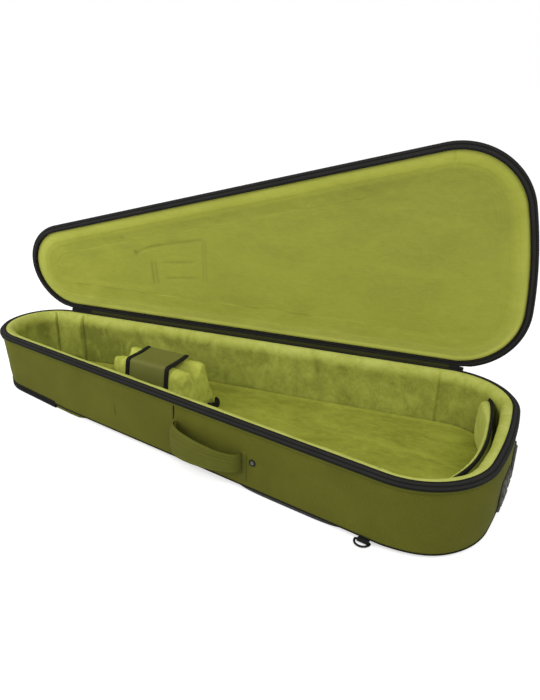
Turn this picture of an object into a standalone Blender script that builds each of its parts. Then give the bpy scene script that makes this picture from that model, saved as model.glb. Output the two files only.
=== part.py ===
"""Acoustic guitar gig bag, lying open: a padded canvas base with a zipped lid on a cloth hinge.

Metres, +Z up. The head end points along -X and the tail end along +X. The handle side is -Y and
the hinge side is +Y. The origin is the middle of the body back pad's underside, which rests on
the ground.
"""

from math import acos, asin, atan2, cos, hypot, pi, radians, sin, sqrt
from typing import Callable, NamedTuple

import bmesh
import bpy
from mathutils import Matrix, Vector

MM = 0.001
GAP = 0.3 * MM  # between pieces that touch on the real bag

# Plan of the canvas wall: a round head end, flaring straight sides and a broad tail end.
LENGTH = 1.12
HEAD_X = -0.80
HEAD_R = 101.6 * MM
FLARE = radians(7.756)
TAIL_CORNER_R = 132.6 * MM
TAIL_R = 0.921
HEAD_STEPS = 14
CORNER_STEPS = 8
TAIL_STEPS = 4

# Depths: the base from its canvas underside to the rim plane, the lid from there to its crown.
PAD_T = 9.0 * MM
BASE_H = 125.5 * MM
LID_H = 38.0 * MM
LEAN = 13.0 * MM  # how far the head end's wall leans in at its foot
LEAN_REACH = 0.25
LEAN_STEPS = 5

# Layers of the padded shells
CANVAS_T = 2.5 * MM
EDGE_R = 12.0 * MM
BOARD_T = 3.0 * MM
BOARD_INSET = 15.0 * MM
WALL_T = 25.0 * MM
LINING_T = 4.7 * MM
FLOOR_T = 4.4 * MM
ROLL_BULGE = 3.0 * MM
ROLL_H = 30.0 * MM
FOAM_GAP = 0.8 * MM  # the leaning wall's facets need more than the usual gap
LID_SHOULDER = 22.0 * MM
LID_EDGE_H = 8.0 * MM  # from the top of the shoulder's curve to the crown
LID_EDGE_IN = 14.0 * MM
LID_CROWN = 3.0 * MM
LID_CROWN_IN = 60.0 * MM
LID_PANEL_DEPTH = 14.0 * MM
LID_PANEL_INSET = 45.0 * MM
LID_LINING_T = 3.5 * MM

# Rim: binding, zip tape, zip coil and piping, alike on the base and, upside down, on the lid
RIM_GAP = 0.6 * MM
RIM_STEP = 8.0 * MM
BAND_H = 13.0 * MM
BINDING_W = 8.2 * MM
BINDING_CHAMFER = 2.0 * MM
TAPE_REACH = 6.5 * MM
TAPE_T = 1.6 * MM
TAPE_DROP = 6.0 * MM
COIL_R = 1.9 * MM
PIPING_R = 1.8 * MM
ZIP_START_STEPS = 3  # corner steps between the end of the hinge and the zip

# Lid hinge, whose axis runs along the hinge side just outside the wall
HINGE_OUT = 4.3 * MM
HINGE_DROP = 4.0 * MM
LID_OPEN = radians(83.1)
GUSSET_T = 1.6 * MM
END_TAB_X = 0.133  # from the head tip, where the cloth starts

# Zip sliders and pulls, parked at both ends of the hinge
SLIDER_DEPTH = 6.0 * MM
SLIDER_TOP = 1.6 * MM
SLIDER_H = 6.6 * MM
PULL_L = 27.0 * MM
PULL_W = 8.0 * MM
PULL_T = 1.8 * MM
SLIDER_SPAN = 0.78  # of one corner step, the last before the zip
PARKED = ZIP_START_STEPS - 0.5  # the slider's middle, in corner steps from the hinge's end

# Underside: back pads, head guard and strap rings
GUARD_OUT = 1.2 * MM
GUARD_IN = 7.0 * MM
GUARD_TOP = 4.0 * MM
GUARD_LIFT = 0.7 * MM  # off the ground
GUARD_END = 0.212  # from the head tip
HEAD_PAD_END = 0.306  # from the head tip
HEAD_PAD_INSET = 2.5 * MM
HEAD_PAD_CORNER = 20.0 * MM
BODY_PAD_L = 0.290
BODY_PAD_W = 0.376
BODY_PAD_POWER = 2.6  # of the superellipse that is its plan
BODY_PAD_SIDES = 32
RING_X = 0.945  # from the head tip
RING_WIRE_R = 1.9 * MM
RING_W = 26.2 * MM
RING_Z = 5.0 * MM
RING_TAB_W = 19.0 * MM
RING_TAB_L = 24.0 * MM
RING_TAB_T = 1.2 * MM
RING_SIDES = 12  # of the tab's loop and of the ring's bow
RING_STAND_OFF = 1.0 * MM  # straight part between the ring's bar and its bow

# Tail end: two ribbed rubber plates to stand the bag on
PLATE_IN = 12.0 * MM  # from the bag's middle line to the near edge of each plate
PLATE_W = 66.0 * MM
PLATE_H = 64.0 * MM
PLATE_FOOT = 14.0 * MM
PLATE_T = 3.5 * MM
NUB_H = 3.0 * MM
NUB_COLUMNS = 7
NUB_ROWS = 6

# Side handle, its ends sewn to the wall
HANDLE_X = 0.6345  # from the head tip
HANDLE_SPAN = 150.0 * MM
HANDLE_BOW = 27.0 * MM
HANDLE_W = 55.0 * MM
HANDLE_T = 6.5 * MM
HANDLE_STRAP_T = 4.5 * MM
HANDLE_FOOT = 14.0 * MM
GRIP_SHARE = 0.6  # of the handle's half span
TAB_W = 9.0 * MM
TAB_T = 2.0 * MM
STUD_CLEAR = 6.0 * MM  # between the handle's tab and the stud
STUD_Z = 55.0 * MM
STUD_R = 6.5 * MM
STUD_T = 3.0 * MM

# Neck rest with its strap
NECK_X0 = 0.318  # from the head tip
NECK_X1 = 0.514
NECK_H = 97.0 * MM
NECK_FOOT_W = 100.0 * MM
NECK_TOP_W = 76.0 * MM
NECK_END_SLOPE = 14.0 * MM
CHANNEL_W = 48.0 * MM
CHANNEL_D = 19.0 * MM
STRAP_X0 = 0.353
STRAP_X1 = 0.462
STRAP_T = 2.4 * MM
STRAP_DROP = 72.0 * MM
STRAP_BINDING_W = 8.0 * MM
LOOP_R = 17.0 * MM
LOOP_T = 2.4 * MM
LOOP_H = 9.0 * MM
LOOP_Y = 28.0 * MM  # off the bag's middle line
LOOP_HALF_TURN = radians(78)
LOOP_STEPS = 8

# Tail divider with the accessory pocket behind it
DIVIDER_X = 1.077  # from the head tip, at the middle of the bag
DIVIDER_R = 0.45
DIVIDER_TOP = 100.0 * MM  # over the canvas underside
DIVIDER_T = 11.0 * MM
DIVIDER_LOBE = 8.0 * MM
BACKING_T = 2.5 * MM
DIVIDER_BINDING_T = 3.0 * MM
DIVIDER_STEPS = 12

RIM_Z = PAD_T + BASE_H
BOARD_Z = CANVAS_T + GAP
INNER_Z = BOARD_Z + BOARD_T + GAP
FLOOR_Z = INNER_Z + FLOOR_T
SEAT_Z = PAD_T + FLOOR_Z + GAP
ALONG_FRONT = Vector((cos(FLARE), -sin(FLARE), 0.0))
ALONG_BACK = Vector((cos(FLARE), sin(FLARE), 0.0))
OUT_FRONT = Vector((-sin(FLARE), -cos(FLARE), 0.0))
OUT_BACK = Vector((-sin(FLARE), cos(FLARE), 0.0))
UP = Vector((0.0, 0.0, 1.0))

Points = list[Vector]
Profile = list[tuple[float, float]]


class Paint(NamedTuple):
    """A plain finish: an sRGB colour, its roughness and how metallic it is."""

    name: str
    colour: str
    roughness: float
    metallic: float = 0.0

    def material(self) -> bpy.types.Material:
        """The Blender material of this finish, made once."""
        found = bpy.data.materials.get(self.name)
        if found:
            return found
        made = bpy.data.materials.new(self.name)
        made.use_nodes = True
        shader = made.node_tree.nodes["Principled BSDF"]
        rgb = [linear(int(self.colour[i : i + 2], 16) / 255) for i in (1, 3, 5)]
        shader.inputs["Base Color"].default_value = (*rgb, 1.0)
        shader.inputs["Roughness"].default_value = self.roughness
        shader.inputs["Metallic"].default_value = self.metallic
        made.diffuse_color = (*rgb, 1.0)
        return made


def linear(value: float) -> float:
    """An sRGB channel as linear light."""
    return value / 12.92 if value <= 0.04045 else ((value + 0.055) / 1.055) ** 2.4


CANVAS = Paint("olive canvas", "#5f6128", 0.9)
PLUSH = Paint("lime plush", "#8d933b", 0.95)
CLOTH = Paint("olive lining cloth", "#585a20", 0.85)
WEBBING = Paint("black webbing", "#33332f", 0.8)
MESH = Paint("black spacer mesh", "#242421", 0.9)
ZIP = Paint("black zip", "#20201f", 0.5)
FOAM = Paint("grey foam", "#8a8a86", 0.95)
BOARD = Paint("fibre board", "#9c8f78", 0.9)
RUBBER = Paint("dark rubber", "#3c3c33", 0.7)
STEEL = Paint("black steel", "#1c1c1c", 0.35, 0.9)


class Station(NamedTuple):
    """A place on the wall's plan: an arc's centre and radius, and the direction out of the bag."""

    centre: tuple[float, float]
    radius: float
    angle: float

    def at(self, inset: float, z: float) -> Vector:
        """The point this far inside the wall's face, at a height."""
        reach = self.radius - inset
        x = self.centre[0] + reach * cos(self.angle)
        return Vector((x, self.centre[1] + reach * sin(self.angle), z))


def arc(centre: tuple[float, float], radius: float, start: float, end: float, steps: int) -> list[Station]:
    """Stations at even angles along an arc, both ends included."""
    return [Station(centre, radius, start + (end - start) * i / steps) for i in range(steps + 1)]


def tail_corner() -> tuple[float, float]:
    """The centre of the hinge side's tail corner, tangent to that side and to the tail's arc."""
    start = Vector((HEAD_X + HEAD_R, 0.0, 0.0)) + OUT_BACK * (HEAD_R - TAIL_CORNER_R)
    away = start - Vector((HEAD_X + LENGTH - TAIL_R, 0.0, 0.0))
    half = away.dot(ALONG_BACK)
    run = -half + sqrt(half**2 - away.length_squared + (TAIL_R - TAIL_CORNER_R) ** 2)
    centre = start + ALONG_BACK * run
    return centre.x, centre.y


HEAD_CENTRE = (HEAD_X + HEAD_R, 0.0)
TAIL_CENTRE = (HEAD_X + LENGTH - TAIL_R, 0.0)
CORNER_X, CORNER_Y = tail_corner()
TAIL_ANGLE = atan2(CORNER_Y, CORNER_X - TAIL_CENTRE[0])
BACK_ANGLE = 0.5 * pi + FLARE
FRONT_ANGLE = 1.5 * pi - FLARE


def side_station(side: float, from_head: float) -> Station:
    """A station on a straight side, at a distance from the head tip along X."""
    along, angle = (ALONG_FRONT, FRONT_ANGLE) if side < 0 else (ALONG_BACK, BACK_ANGLE)
    start = Station(HEAD_CENTRE, HEAD_R, angle).at(0.0, 0.0)
    shift = along * ((HEAD_X + from_head - start.x) / along.x)
    return Station((HEAD_CENTRE[0] + shift.x, HEAD_CENTRE[1] + shift.y), HEAD_R, angle)


HEAD = arc(HEAD_CENTRE, HEAD_R, BACK_ANGLE, FRONT_ANGLE, HEAD_STEPS)
TAIL_FRONT = arc((CORNER_X, -CORNER_Y), TAIL_CORNER_R, FRONT_ANGLE, 2 * pi - TAIL_ANGLE, CORNER_STEPS)
TAIL = arc(TAIL_CENTRE, TAIL_R, -TAIL_ANGLE, TAIL_ANGLE, TAIL_STEPS)[1:-1]
TAIL_BACK = arc((CORNER_X, CORNER_Y), TAIL_CORNER_R, TAIL_ANGLE, BACK_ANGLE, CORNER_STEPS)
SIDE_START = HEAD_R * (1.0 - sin(FLARE))
SIDE_STEPS = [SIDE_START + (LEAN_REACH - SIDE_START) * (i + 1) / LEAN_STEPS for i in range(LEAN_STEPS)]
FRONT_SIDE = [side_station(-1, from_head) for from_head in SIDE_STEPS]
BACK_SIDE = [side_station(1, from_head) for from_head in SIDE_STEPS[::-1]]
WALL = HEAD + FRONT_SIDE + TAIL_FRONT + TAIL + TAIL_BACK + BACK_SIDE
ZIP_PATH = HEAD[ZIP_START_STEPS:] + FRONT_SIDE + TAIL_FRONT + TAIL + TAIL_BACK[:-ZIP_START_STEPS]

Place = Callable[[Station, float, float], Vector]


def base_point(station: Station, inset: float, z: float) -> Vector:
    """A point of the base, z over its canvas underside. The head end's foot leans in."""
    from_head = station.at(0.0, 0.0).x - HEAD_X
    lean = LEAN * max(0.0, 1.0 - from_head / LEAN_REACH) * (1.0 - max(z, 0.0) / BASE_H)
    return station.at(inset + lean, PAD_T + z)


def base_rim_point(station: Station, inset: float, drop: float) -> Vector:
    """A point of the base's rim, measured down from the rim plane."""
    return base_point(station, inset, BASE_H - drop)


def lid_point(station: Station, inset: float, rise: float) -> Vector:
    """A point of the closed lid, measured up from the rim plane."""
    return station.at(inset, RIM_Z + rise)


def skin(loops: list[Points], wrap: bool = False) -> bmesh.types.BMesh:
    """A closed solid over a row of loops: its ends are capped, or meet each other if it wraps."""
    made = bmesh.new()
    rows = [[made.verts.new(point) for point in loop] for loop in loops]
    count = len(rows[0])
    pairs = list(zip(rows, rows[1:]))
    if wrap:
        pairs.append((rows[-1], rows[0]))
    else:
        made.faces.new(rows[0])
        made.faces.new(rows[-1])
    for low, high in pairs:
        for i in range(count):
            j = (i + 1) % count
            made.faces.new((low[i], low[j], high[j], high[i]))
    bmesh.ops.recalc_face_normals(made, faces=made.faces)
    return made


def add(name: str, made: bmesh.types.BMesh, paint: Paint, pivot: Vector | None = None) -> bpy.types.Object:
    """Adds a solid as an object, with its origin at the pivot if it has one."""
    if pivot:
        bmesh.ops.translate(made, verts=made.verts, vec=-pivot)
    mesh = bpy.data.meshes.new(name)
    made.to_mesh(mesh)
    made.free()
    mesh.shade_smooth()
    mesh.set_sharp_from_angle(angle=radians(35))
    mesh.materials.append(paint.material())
    obj = bpy.data.objects.new(name, mesh)
    obj.location = pivot or Vector()
    bpy.context.scene.collection.objects.link(obj)
    return obj


def ring(profile: Profile, place: Place) -> bmesh.types.BMesh:
    """A closed profile carried all round the wall."""
    return skin([[place(st, *at) for st in WALL] for at in profile], wrap=True)


def dish(profile: Profile, place: Place) -> bmesh.types.BMesh:
    """An open profile carried all round the wall, with a flat panel at both of its ends."""
    return skin([[place(st, *at) for st in WALL] for at in profile])


def sweep(profile: Profile, place: Place, path: list[Station]) -> bmesh.types.BMesh:
    """A closed profile carried along part of the wall, with flat ends."""
    return skin([[place(st, *at) for at in profile] for st in path])


def round_profile(inset: float, drop: float, radius: float, sides: int = 6) -> Profile:
    """A cord's round section."""
    turns = [2 * pi * (i + 0.5) / sides for i in range(sides)]
    return [(inset + radius * cos(turn), drop + radius * sin(turn)) for turn in turns]


def foot_arc(radius: float) -> Profile:
    """The rounded bottom edge, from the underside to the wall, about the edge's own centre."""
    turns = [radians(30) * i for i in range(4)]
    return [(EDGE_R - radius * sin(turn), EDGE_R - radius * cos(turn)) for turn in turns]


def rim(prefix: str, place: Place) -> list[bpy.types.Object]:
    """The binding, zip tape, zip coil and piping of one shell's rim."""
    binding = [
        (BINDING_W, RIM_GAP),
        (BINDING_W, RIM_STEP),
        (CANVAS_T, RIM_STEP),
        (CANVAS_T, BAND_H),
        (GAP, BAND_H),
        (GAP, 1.5 * BINDING_CHAMFER),
        (BINDING_CHAMFER, 2 * RIM_GAP),
    ]
    tape = [
        (0.0, TAPE_DROP / 2),
        (-TAPE_REACH, TAPE_DROP),
        (-TAPE_REACH, TAPE_DROP + TAPE_T),
        (0.0, TAPE_DROP / 2 + TAPE_T),
    ]
    coil_out = TAPE_REACH + COIL_R + GAP
    coil_drop = TAPE_DROP + TAPE_T / 2 + COIL_R
    return [
        add(f"{prefix}_rim_binding", ring(binding, place), WEBBING),
        add(f"{prefix}_zip_tape", sweep(tape, place, ZIP_PATH), WEBBING),
        add(f"{prefix}_zip_coil", sweep(round_profile(-coil_out, coil_drop, COIL_R), place, ZIP_PATH), ZIP),
        add(f"{prefix}_rim_piping", ring(round_profile(-PIPING_R - GAP, BAND_H, PIPING_R), place), CANVAS),
    ]


def base_shell() -> None:
    """The base's canvas, board, foam, plush and floor pad, from the outside in."""
    canvas_top = BASE_H - BAND_H - GAP
    inner_face = WALL_T - LINING_T
    cover = foot_arc(EDGE_R) + [(0.0, canvas_top), (CANVAS_T, canvas_top)]
    cover += foot_arc(EDGE_R - CANVAS_T)[::-1]
    add("base_cover", dish(cover, base_point), CANVAS)
    board = [(BOARD_INSET, BOARD_Z), (BOARD_INSET, BOARD_Z + BOARD_T)]
    add("base_board", dish(board, base_point), BOARD)
    foam_out = CANVAS_T + FOAM_GAP
    foam_in = inner_face - FOAM_GAP
    foam_top = BASE_H - RIM_STEP - GAP
    foam = [
        (EDGE_R * 0.75, INNER_Z),
        (foam_in, INNER_Z),
        (foam_in, foam_top),
        (foam_out, foam_top),
        (foam_out, EDGE_R * 1.1),
    ]
    add("base_wall_foam", ring(foam, base_point), FOAM)
    lining = [
        (WALL_T, INNER_Z),
        (WALL_T, BASE_H - ROLL_H),
        (WALL_T + ROLL_BULGE, BASE_H - 0.62 * ROLL_H),
        (WALL_T + 0.7 * ROLL_BULGE, BASE_H - 0.3 * ROLL_H),
        (WALL_T - ROLL_BULGE, BASE_H - 0.1 * ROLL_H),
        (2 * BINDING_W, BASE_H - 2 * RIM_GAP),
        (BINDING_W + GAP, BASE_H - 2 * RIM_GAP),
        (BINDING_W + GAP, BASE_H - RIM_STEP),
        (inner_face, BASE_H - RIM_STEP),
        (inner_face, INNER_Z),
    ]
    add("base_lining", ring(lining, base_point), PLUSH)
    floor = [(WALL_T + GAP, INNER_Z), (WALL_T + GAP, FLOOR_Z - 1.0 * MM), (WALL_T + 2.0 * MM, FLOOR_Z)]
    add("base_floor", dish(floor, base_point), PLUSH)


def lid_shell(offset: float) -> Profile:
    """The lid's outer shape, brought in by an offset, from the band to the crown."""
    edge = [
        (0.0, LID_SHOULDER, 1.0, 0.4),
        (0.28 * LID_EDGE_IN, LID_H - LID_EDGE_H, 0.8, 0.6),
        (LID_EDGE_IN, LID_H - LID_CROWN, 0.35, 0.95),
        (LID_CROWN_IN, LID_H, 0.0, 1.0),
    ]
    return [(inset + offset * a, rise - offset * b) for inset, rise, a, b in edge]


def lid_panel(offset: float) -> Profile:
    """The lid's padded inside, raised by an offset, from the middle panel out to the rim."""
    return [
        (LID_PANEL_INSET, LID_PANEL_DEPTH + offset),
        (WALL_T - LINING_T, RIM_STEP * 0.3 + offset),
    ]


def lid() -> None:
    """The lid, built closed about its hinge and then opened."""
    band = BAND_H + GAP
    cover = lid_shell(CANVAS_T)[::-1] + [(CANVAS_T, band), (0.0, band)] + lid_shell(0.0)
    pieces = [add("lid_cover", dish(cover, lid_point), CANVAS)]
    edge = CANVAS_T + GAP
    step = RIM_STEP + GAP
    foam_panel = lid_panel(LID_LINING_T + GAP)[0]
    foam = [foam_panel, (WALL_T - LINING_T, step), (edge, step)] + lid_shell(edge + GAP)
    pieces.append(add("lid_foam", dish(foam, lid_point), FOAM))
    lining = lid_panel(0.0) + [
        (2 * BINDING_W - 2.0 * MM, RIM_GAP),
        (BINDING_W + GAP, RIM_GAP),
        (BINDING_W + GAP, RIM_STEP),
        (WALL_T - LINING_T, RIM_STEP),
        lid_panel(LID_LINING_T)[0],
    ]
    pieces.append(add("lid_lining", dish(lining, lid_point), PLUSH))
    pieces += rim("lid", lid_point)
    pivot = bpy.data.objects.new("lid_hinge", None)
    bpy.context.scene.collection.objects.link(pivot)
    pivot.location = side_station(1, LENGTH / 2).at(-HINGE_OUT, RIM_Z - HINGE_DROP)
    for piece in pieces:
        piece.parent = pivot
        piece.matrix_parent_inverse = Matrix.Translation(-pivot.location)
    pivot.rotation_mode = "AXIS_ANGLE"
    pivot.rotation_axis_angle = (LID_OPEN, *-ALONG_BACK)


def hinge() -> None:
    """The cloth gusset that bridges lid and base at any angle, and the black tabs that end it."""
    reach = hypot(HINGE_OUT + BINDING_CHAMFER, HINGE_DROP + 2 * RIM_GAP) - GAP

    def about_axis(radius: float, degrees: float) -> tuple[float, float]:
        turn = radians(degrees)
        return -HINGE_OUT - radius * cos(turn), HINGE_DROP - radius * sin(turn)

    half = sqrt(reach**2 - HINGE_OUT**2)
    gusset = [(0.0, HINGE_DROP + half), (0.0, HINGE_DROP - half)]
    gusset += [about_axis(reach, degrees) for degrees in (105, 85, 65, 45)]
    gusset += [about_axis(reach - GUSSET_T, degrees) for degrees in (45, 65, 85, 105)]
    gusset.append((-GUSSET_T, HINGE_DROP + half))
    head_end = side_station(1, END_TAB_X + GAP)
    inner = [station for station in BACK_SIDE if station.at(0, 0).x > head_end.at(0, 0).x]
    add("hinge_gusset", sweep(gusset, base_rim_point, [TAIL_BACK[-1]] + inner + [head_end]), CLOTH)
    tab = [(0.0, HINGE_DROP + 0.8 * half), (0.0, HINGE_DROP - half)]
    tab += [about_axis(reach, degrees) for degrees in (95, 65, 35, 5)]
    tab += [about_axis(0.8 * reach, degrees) for degrees in (-30, -60)]
    head_step = (FRONT_ANGLE - BACK_ANGLE) / HEAD_STEPS
    tail_step = (BACK_ANGLE - TAIL_ANGLE) / CORNER_STEPS
    past_end = Station(HEAD_CENTRE, HEAD_R, BACK_ANGLE + 0.9 * head_step)
    corner = (CORNER_X, CORNER_Y)
    tail_path = arc(corner, TAIL_CORNER_R, BACK_ANGLE - 0.05 * tail_step, BACK_ANGLE - 0.95 * tail_step, 1)
    on_side = [side_station(1, END_TAB_X)] + [st for st in BACK_SIDE if st not in inner]
    add("hinge_end_tab_head", sweep(tab, base_rim_point, on_side + [HEAD[0], past_end]), WEBBING)
    add("hinge_end_tab_tail", sweep(tab, base_rim_point, tail_path), WEBBING)


def zip_puller(name: str, centre: tuple[float, float], radius: float, start: float, step: float) -> None:
    """A slider parked where the zip begins, with its pull hanging down."""
    first = start + (PARKED - SLIDER_SPAN / 2) * step
    path = arc(centre, radius, first, first + SLIDER_SPAN * step, 1)
    low = SLIDER_TOP + SLIDER_H
    slider = [
        (0.0, SLIDER_TOP),
        (0.0, low),
        (-SLIDER_DEPTH + 1.5 * MM, low),
        (-SLIDER_DEPTH, low - 2.0 * MM),
        (-SLIDER_DEPTH, SLIDER_TOP + 2.0 * MM),
        (-SLIDER_DEPTH + 2.0 * MM, SLIDER_TOP),
    ]
    add(f"zip_slider_{name}", sweep(slider, base_rim_point, path), STEEL)
    middle = Station(centre, radius, start + PARKED * step)
    out = Vector((cos(middle.angle), sin(middle.angle), 0.0))
    across = Vector((-out.y, out.x, 0.0))
    pivot = base_rim_point(middle, -PIPING_R * 2 - 4 * GAP - PULL_T / 2, low + GAP + PULL_T / 2)
    loops = []
    for down, width in ((-PULL_T / 2, 0.55), (0.25 * PULL_L, 0.55), (0.4 * PULL_L, 1.0), (PULL_L, 0.8)):
        half = across * (PULL_W * width / 2)
        centre_line = pivot - UP * down
        depth = out * (PULL_T / 2)
        loops.append([centre_line + a * half + b * depth for a, b in ((1, 1), (-1, 1), (-1, -1), (1, -1))])
    add(f"zip_pull_{name}", skin(loops), STEEL, pivot)


def zip_pullers() -> None:
    """Both sliders, one at each end of the hinge."""
    head_step = (FRONT_ANGLE - BACK_ANGLE) / HEAD_STEPS
    tail_step = (BACK_ANGLE - TAIL_ANGLE) / CORNER_STEPS
    zip_puller("head", HEAD_CENTRE, HEAD_R, BACK_ANGLE, head_step)
    zip_puller("tail", (CORNER_X, CORNER_Y), TAIL_CORNER_R, BACK_ANGLE, -tail_step)


def slab(outline: Points, low: float, high: float, edge: float = 0.0) -> bmesh.types.BMesh:
    """An upright slab over a plan outline, its lower edge drawn in."""
    middle = sum(outline, Vector()) / len(outline)
    drawn = [point + (middle - point).normalized() * edge for point in outline]
    levels = [(drawn, low), (outline, low + edge), (outline, high)] if edge else [(outline, low), (outline, high)]
    return skin([[Vector((point.x, point.y, z)) for point in plan] for plan, z in levels])


def underside() -> None:
    """The two back pads and the rubber guard round the head end's foot."""
    top = PAD_T - GAP
    guard_front = side_station(-1, GUARD_END)
    guard_back = side_station(1, GUARD_END)
    guard = [
        (-GUARD_OUT, GUARD_TOP),
        (1.8 * MM, GUARD_TOP + GAP),
        (2.6 * MM, GUARD_TOP - 1.0 * MM),
        (GUARD_IN, -GAP),
        (GUARD_IN, GUARD_LIFT - PAD_T),
        (2.0 * MM, GUARD_LIFT - PAD_T),
        (-GUARD_OUT, 3.0 * GUARD_LIFT - PAD_T),
    ]
    add("head_guard", sweep(guard, base_point, [guard_back] + HEAD + [guard_front]), RUBBER)
    plan = [base_point(st, GUARD_IN + GAP, 0.0) for st in [guard_back] + HEAD + [guard_front]]
    past = GUARD_END + 1.0 * MM
    corner = HEAD_PAD_END - HEAD_PAD_CORNER
    plan = [base_point(side_station(1, past), GUARD_IN + GAP, 0.0)] + plan
    plan.append(base_point(side_station(-1, past), GUARD_IN + GAP, 0.0))
    end = [(past, HEAD_PAD_INSET), (corner, HEAD_PAD_INSET), (HEAD_PAD_END, HEAD_PAD_INSET + HEAD_PAD_CORNER)]
    plan += [base_point(side_station(-1, from_head), inset, 0.0) for from_head, inset in end]
    plan += [base_point(side_station(1, from_head), inset, 0.0) for from_head, inset in end[::-1]]
    add("back_pad_head", slab(plan, 0.0, top), CANVAS)
    plan = []
    for i in range(BODY_PAD_SIDES):
        turn = 2 * pi * i / BODY_PAD_SIDES
        x = abs(cos(turn)) ** (2 / BODY_PAD_POWER) * BODY_PAD_L / 2
        y = abs(sin(turn)) ** (2 / BODY_PAD_POWER) * BODY_PAD_W / 2
        plan.append(Vector((x if cos(turn) >= 0 else -x, y if sin(turn) >= 0 else -y, 0.0)))
    add("back_pad_body", slab(plan, 0.0, top, edge=PAD_T / 3), MESH)


def strap_ring(name: str, side: float) -> None:
    """A D-ring on a short webbing tab under the edge of the base, lying flat."""
    station = side_station(side, RING_X)
    along, out = (ALONG_FRONT, OUT_FRONT) if side < 0 else (ALONG_BACK, OUT_BACK)
    bar = station.at(-RING_WIRE_R - 2 * GAP, RING_Z)
    bore = RING_WIRE_R + GAP
    reach = bore + RING_TAB_T
    turns = [2 * pi * (i + 0.5) / RING_SIDES for i in range(RING_SIDES)]
    inner = [(bore * cos(turn), bore * sin(turn)) for turn in turns]
    outer = [(reach * cos(turn), reach * sin(turn)) for turn in turns]
    seat = PAD_T - GAP - RING_Z
    innermost = RING_SIDES // 2
    outer[innermost - 1 : innermost + 1] = [(-RING_TAB_L, seat), (-RING_TAB_L, seat - RING_TAB_T)]
    made = bmesh.new()
    rows = []
    for section, shift in ((outer, -0.5), (outer, 0.5), (inner, 0.5), (inner, -0.5)):
        at = bar + along * (RING_TAB_W * shift)
        rows.append([made.verts.new(at + out * a + UP * b) for a, b in section])
    for low, high in zip(rows, rows[1:] + rows[:1]):
        for i in range(RING_SIDES):
            j = (i + 1) % RING_SIDES
            made.faces.new((low[i], low[j], high[j], high[i]))
    bmesh.ops.recalc_face_normals(made, faces=made.faces)
    add(f"d_ring_tab_{name}", made, WEBBING)
    route = [bar + along * (RING_W / 2 * share) for share in (-0.6, 0.6)]
    normals = [out * -1.0] * 2
    for i in range(RING_SIDES - 1):
        turn = pi * i / (RING_SIDES - 2)
        away = along * cos(turn) + out * sin(turn)
        route.append(bar + away * (RING_W / 2) + out * RING_STAND_OFF)
        normals.append(away)
    loops = []
    for point, away in zip(route, normals):
        turns = [2 * pi * (i + 0.5) / 6 for i in range(6)]
        loops.append([point + (away * cos(t) + UP * sin(t)) * RING_WIRE_R for t in turns])
    add(f"d_ring_{name}", skin(loops, wrap=True), STEEL, bar)


def traction_plate(name: str, side: float) -> None:
    """A rubber plate on the tail wall, with a checkered field of blunt nubs."""
    made = bmesh.new()

    def place(across: float, up: float, out: float) -> Vector:
        y = side * (PLATE_IN + across * PLATE_W)
        station = Station(TAIL_CENTRE, TAIL_R, asin(y / TAIL_R))
        return base_point(station, -out, PLATE_FOOT + up * PLATE_H)

    grid = {}
    for i in range(NUB_COLUMNS + 1):
        for j in range(NUB_ROWS + 1):
            at = (i / NUB_COLUMNS, j / NUB_ROWS)
            grid[i, j] = made.verts.new(place(*at, PLATE_T))
    nubs = []
    for i in range(NUB_COLUMNS):
        for j in range(NUB_ROWS):
            cell = [grid[i, j], grid[i + 1, j], grid[i + 1, j + 1], grid[i, j + 1]]
            centre = ((i + 0.5) / NUB_COLUMNS, (j + 0.5) / NUB_ROWS)
            if (i + j) % 2:
                made.faces.new(cell)
                continue
            corners = ((-0.3, -0.3), (0.3, -0.3), (0.3, 0.3), (-0.3, 0.3))
            nubs.append((cell, [(centre[0] + a / NUB_COLUMNS, centre[1] + b / NUB_ROWS) for a, b in corners]))
    for cell, corners in nubs:
        tips = [made.verts.new(place(*corner, PLATE_T + NUB_H)) for corner in corners]
        made.faces.new(tips)
        for i in range(4):
            j = (i + 1) % 4
            made.faces.new((cell[i], cell[j], tips[j], tips[i]))
    border = [(i, 0) for i in range(NUB_COLUMNS)] + [(NUB_COLUMNS, j) for j in range(NUB_ROWS)]
    border += [(i, NUB_ROWS) for i in range(NUB_COLUMNS, 0, -1)] + [(0, j) for j in range(NUB_ROWS, 0, -1)]
    seat = {at: made.verts.new(place(at[0] / NUB_COLUMNS, at[1] / NUB_ROWS, 2 * GAP)) for at in border}
    for at, following in zip(border, border[1:] + border[:1]):
        made.faces.new((grid[at], grid[following], seat[following], seat[at]))
    made.faces.new([seat[at] for at in border])
    bmesh.ops.recalc_face_normals(made, faces=made.faces)
    add(f"traction_plate_{name}", made, RUBBER)


def on_front(along: float, out: float, z: float) -> Vector:
    """A point off the front wall, measured along it from the handle's middle."""
    return side_station(-1, HANDLE_X).at(-out, PAD_T + z) + ALONG_FRONT * along


def handle_section(share: float, thick: float) -> Points:
    """The handle's section at a share of its half span: a flat strap stood on its edge."""
    bow = GAP + HANDLE_STRAP_T / 2 + HANDLE_BOW * cos(asin(share)) ** 0.7
    half = [(-0.5, 0.06), (-0.25, 0.0), (0.25, 0.0), (0.5, 0.06)]
    section = half + [(out, 1.0 - up) for out, up in half[::-1]]
    run = HANDLE_SPAN / 2 * share
    return [on_front(run, bow + thick * out, HANDLE_FOOT + HANDLE_W * up) for out, up in section]


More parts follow.
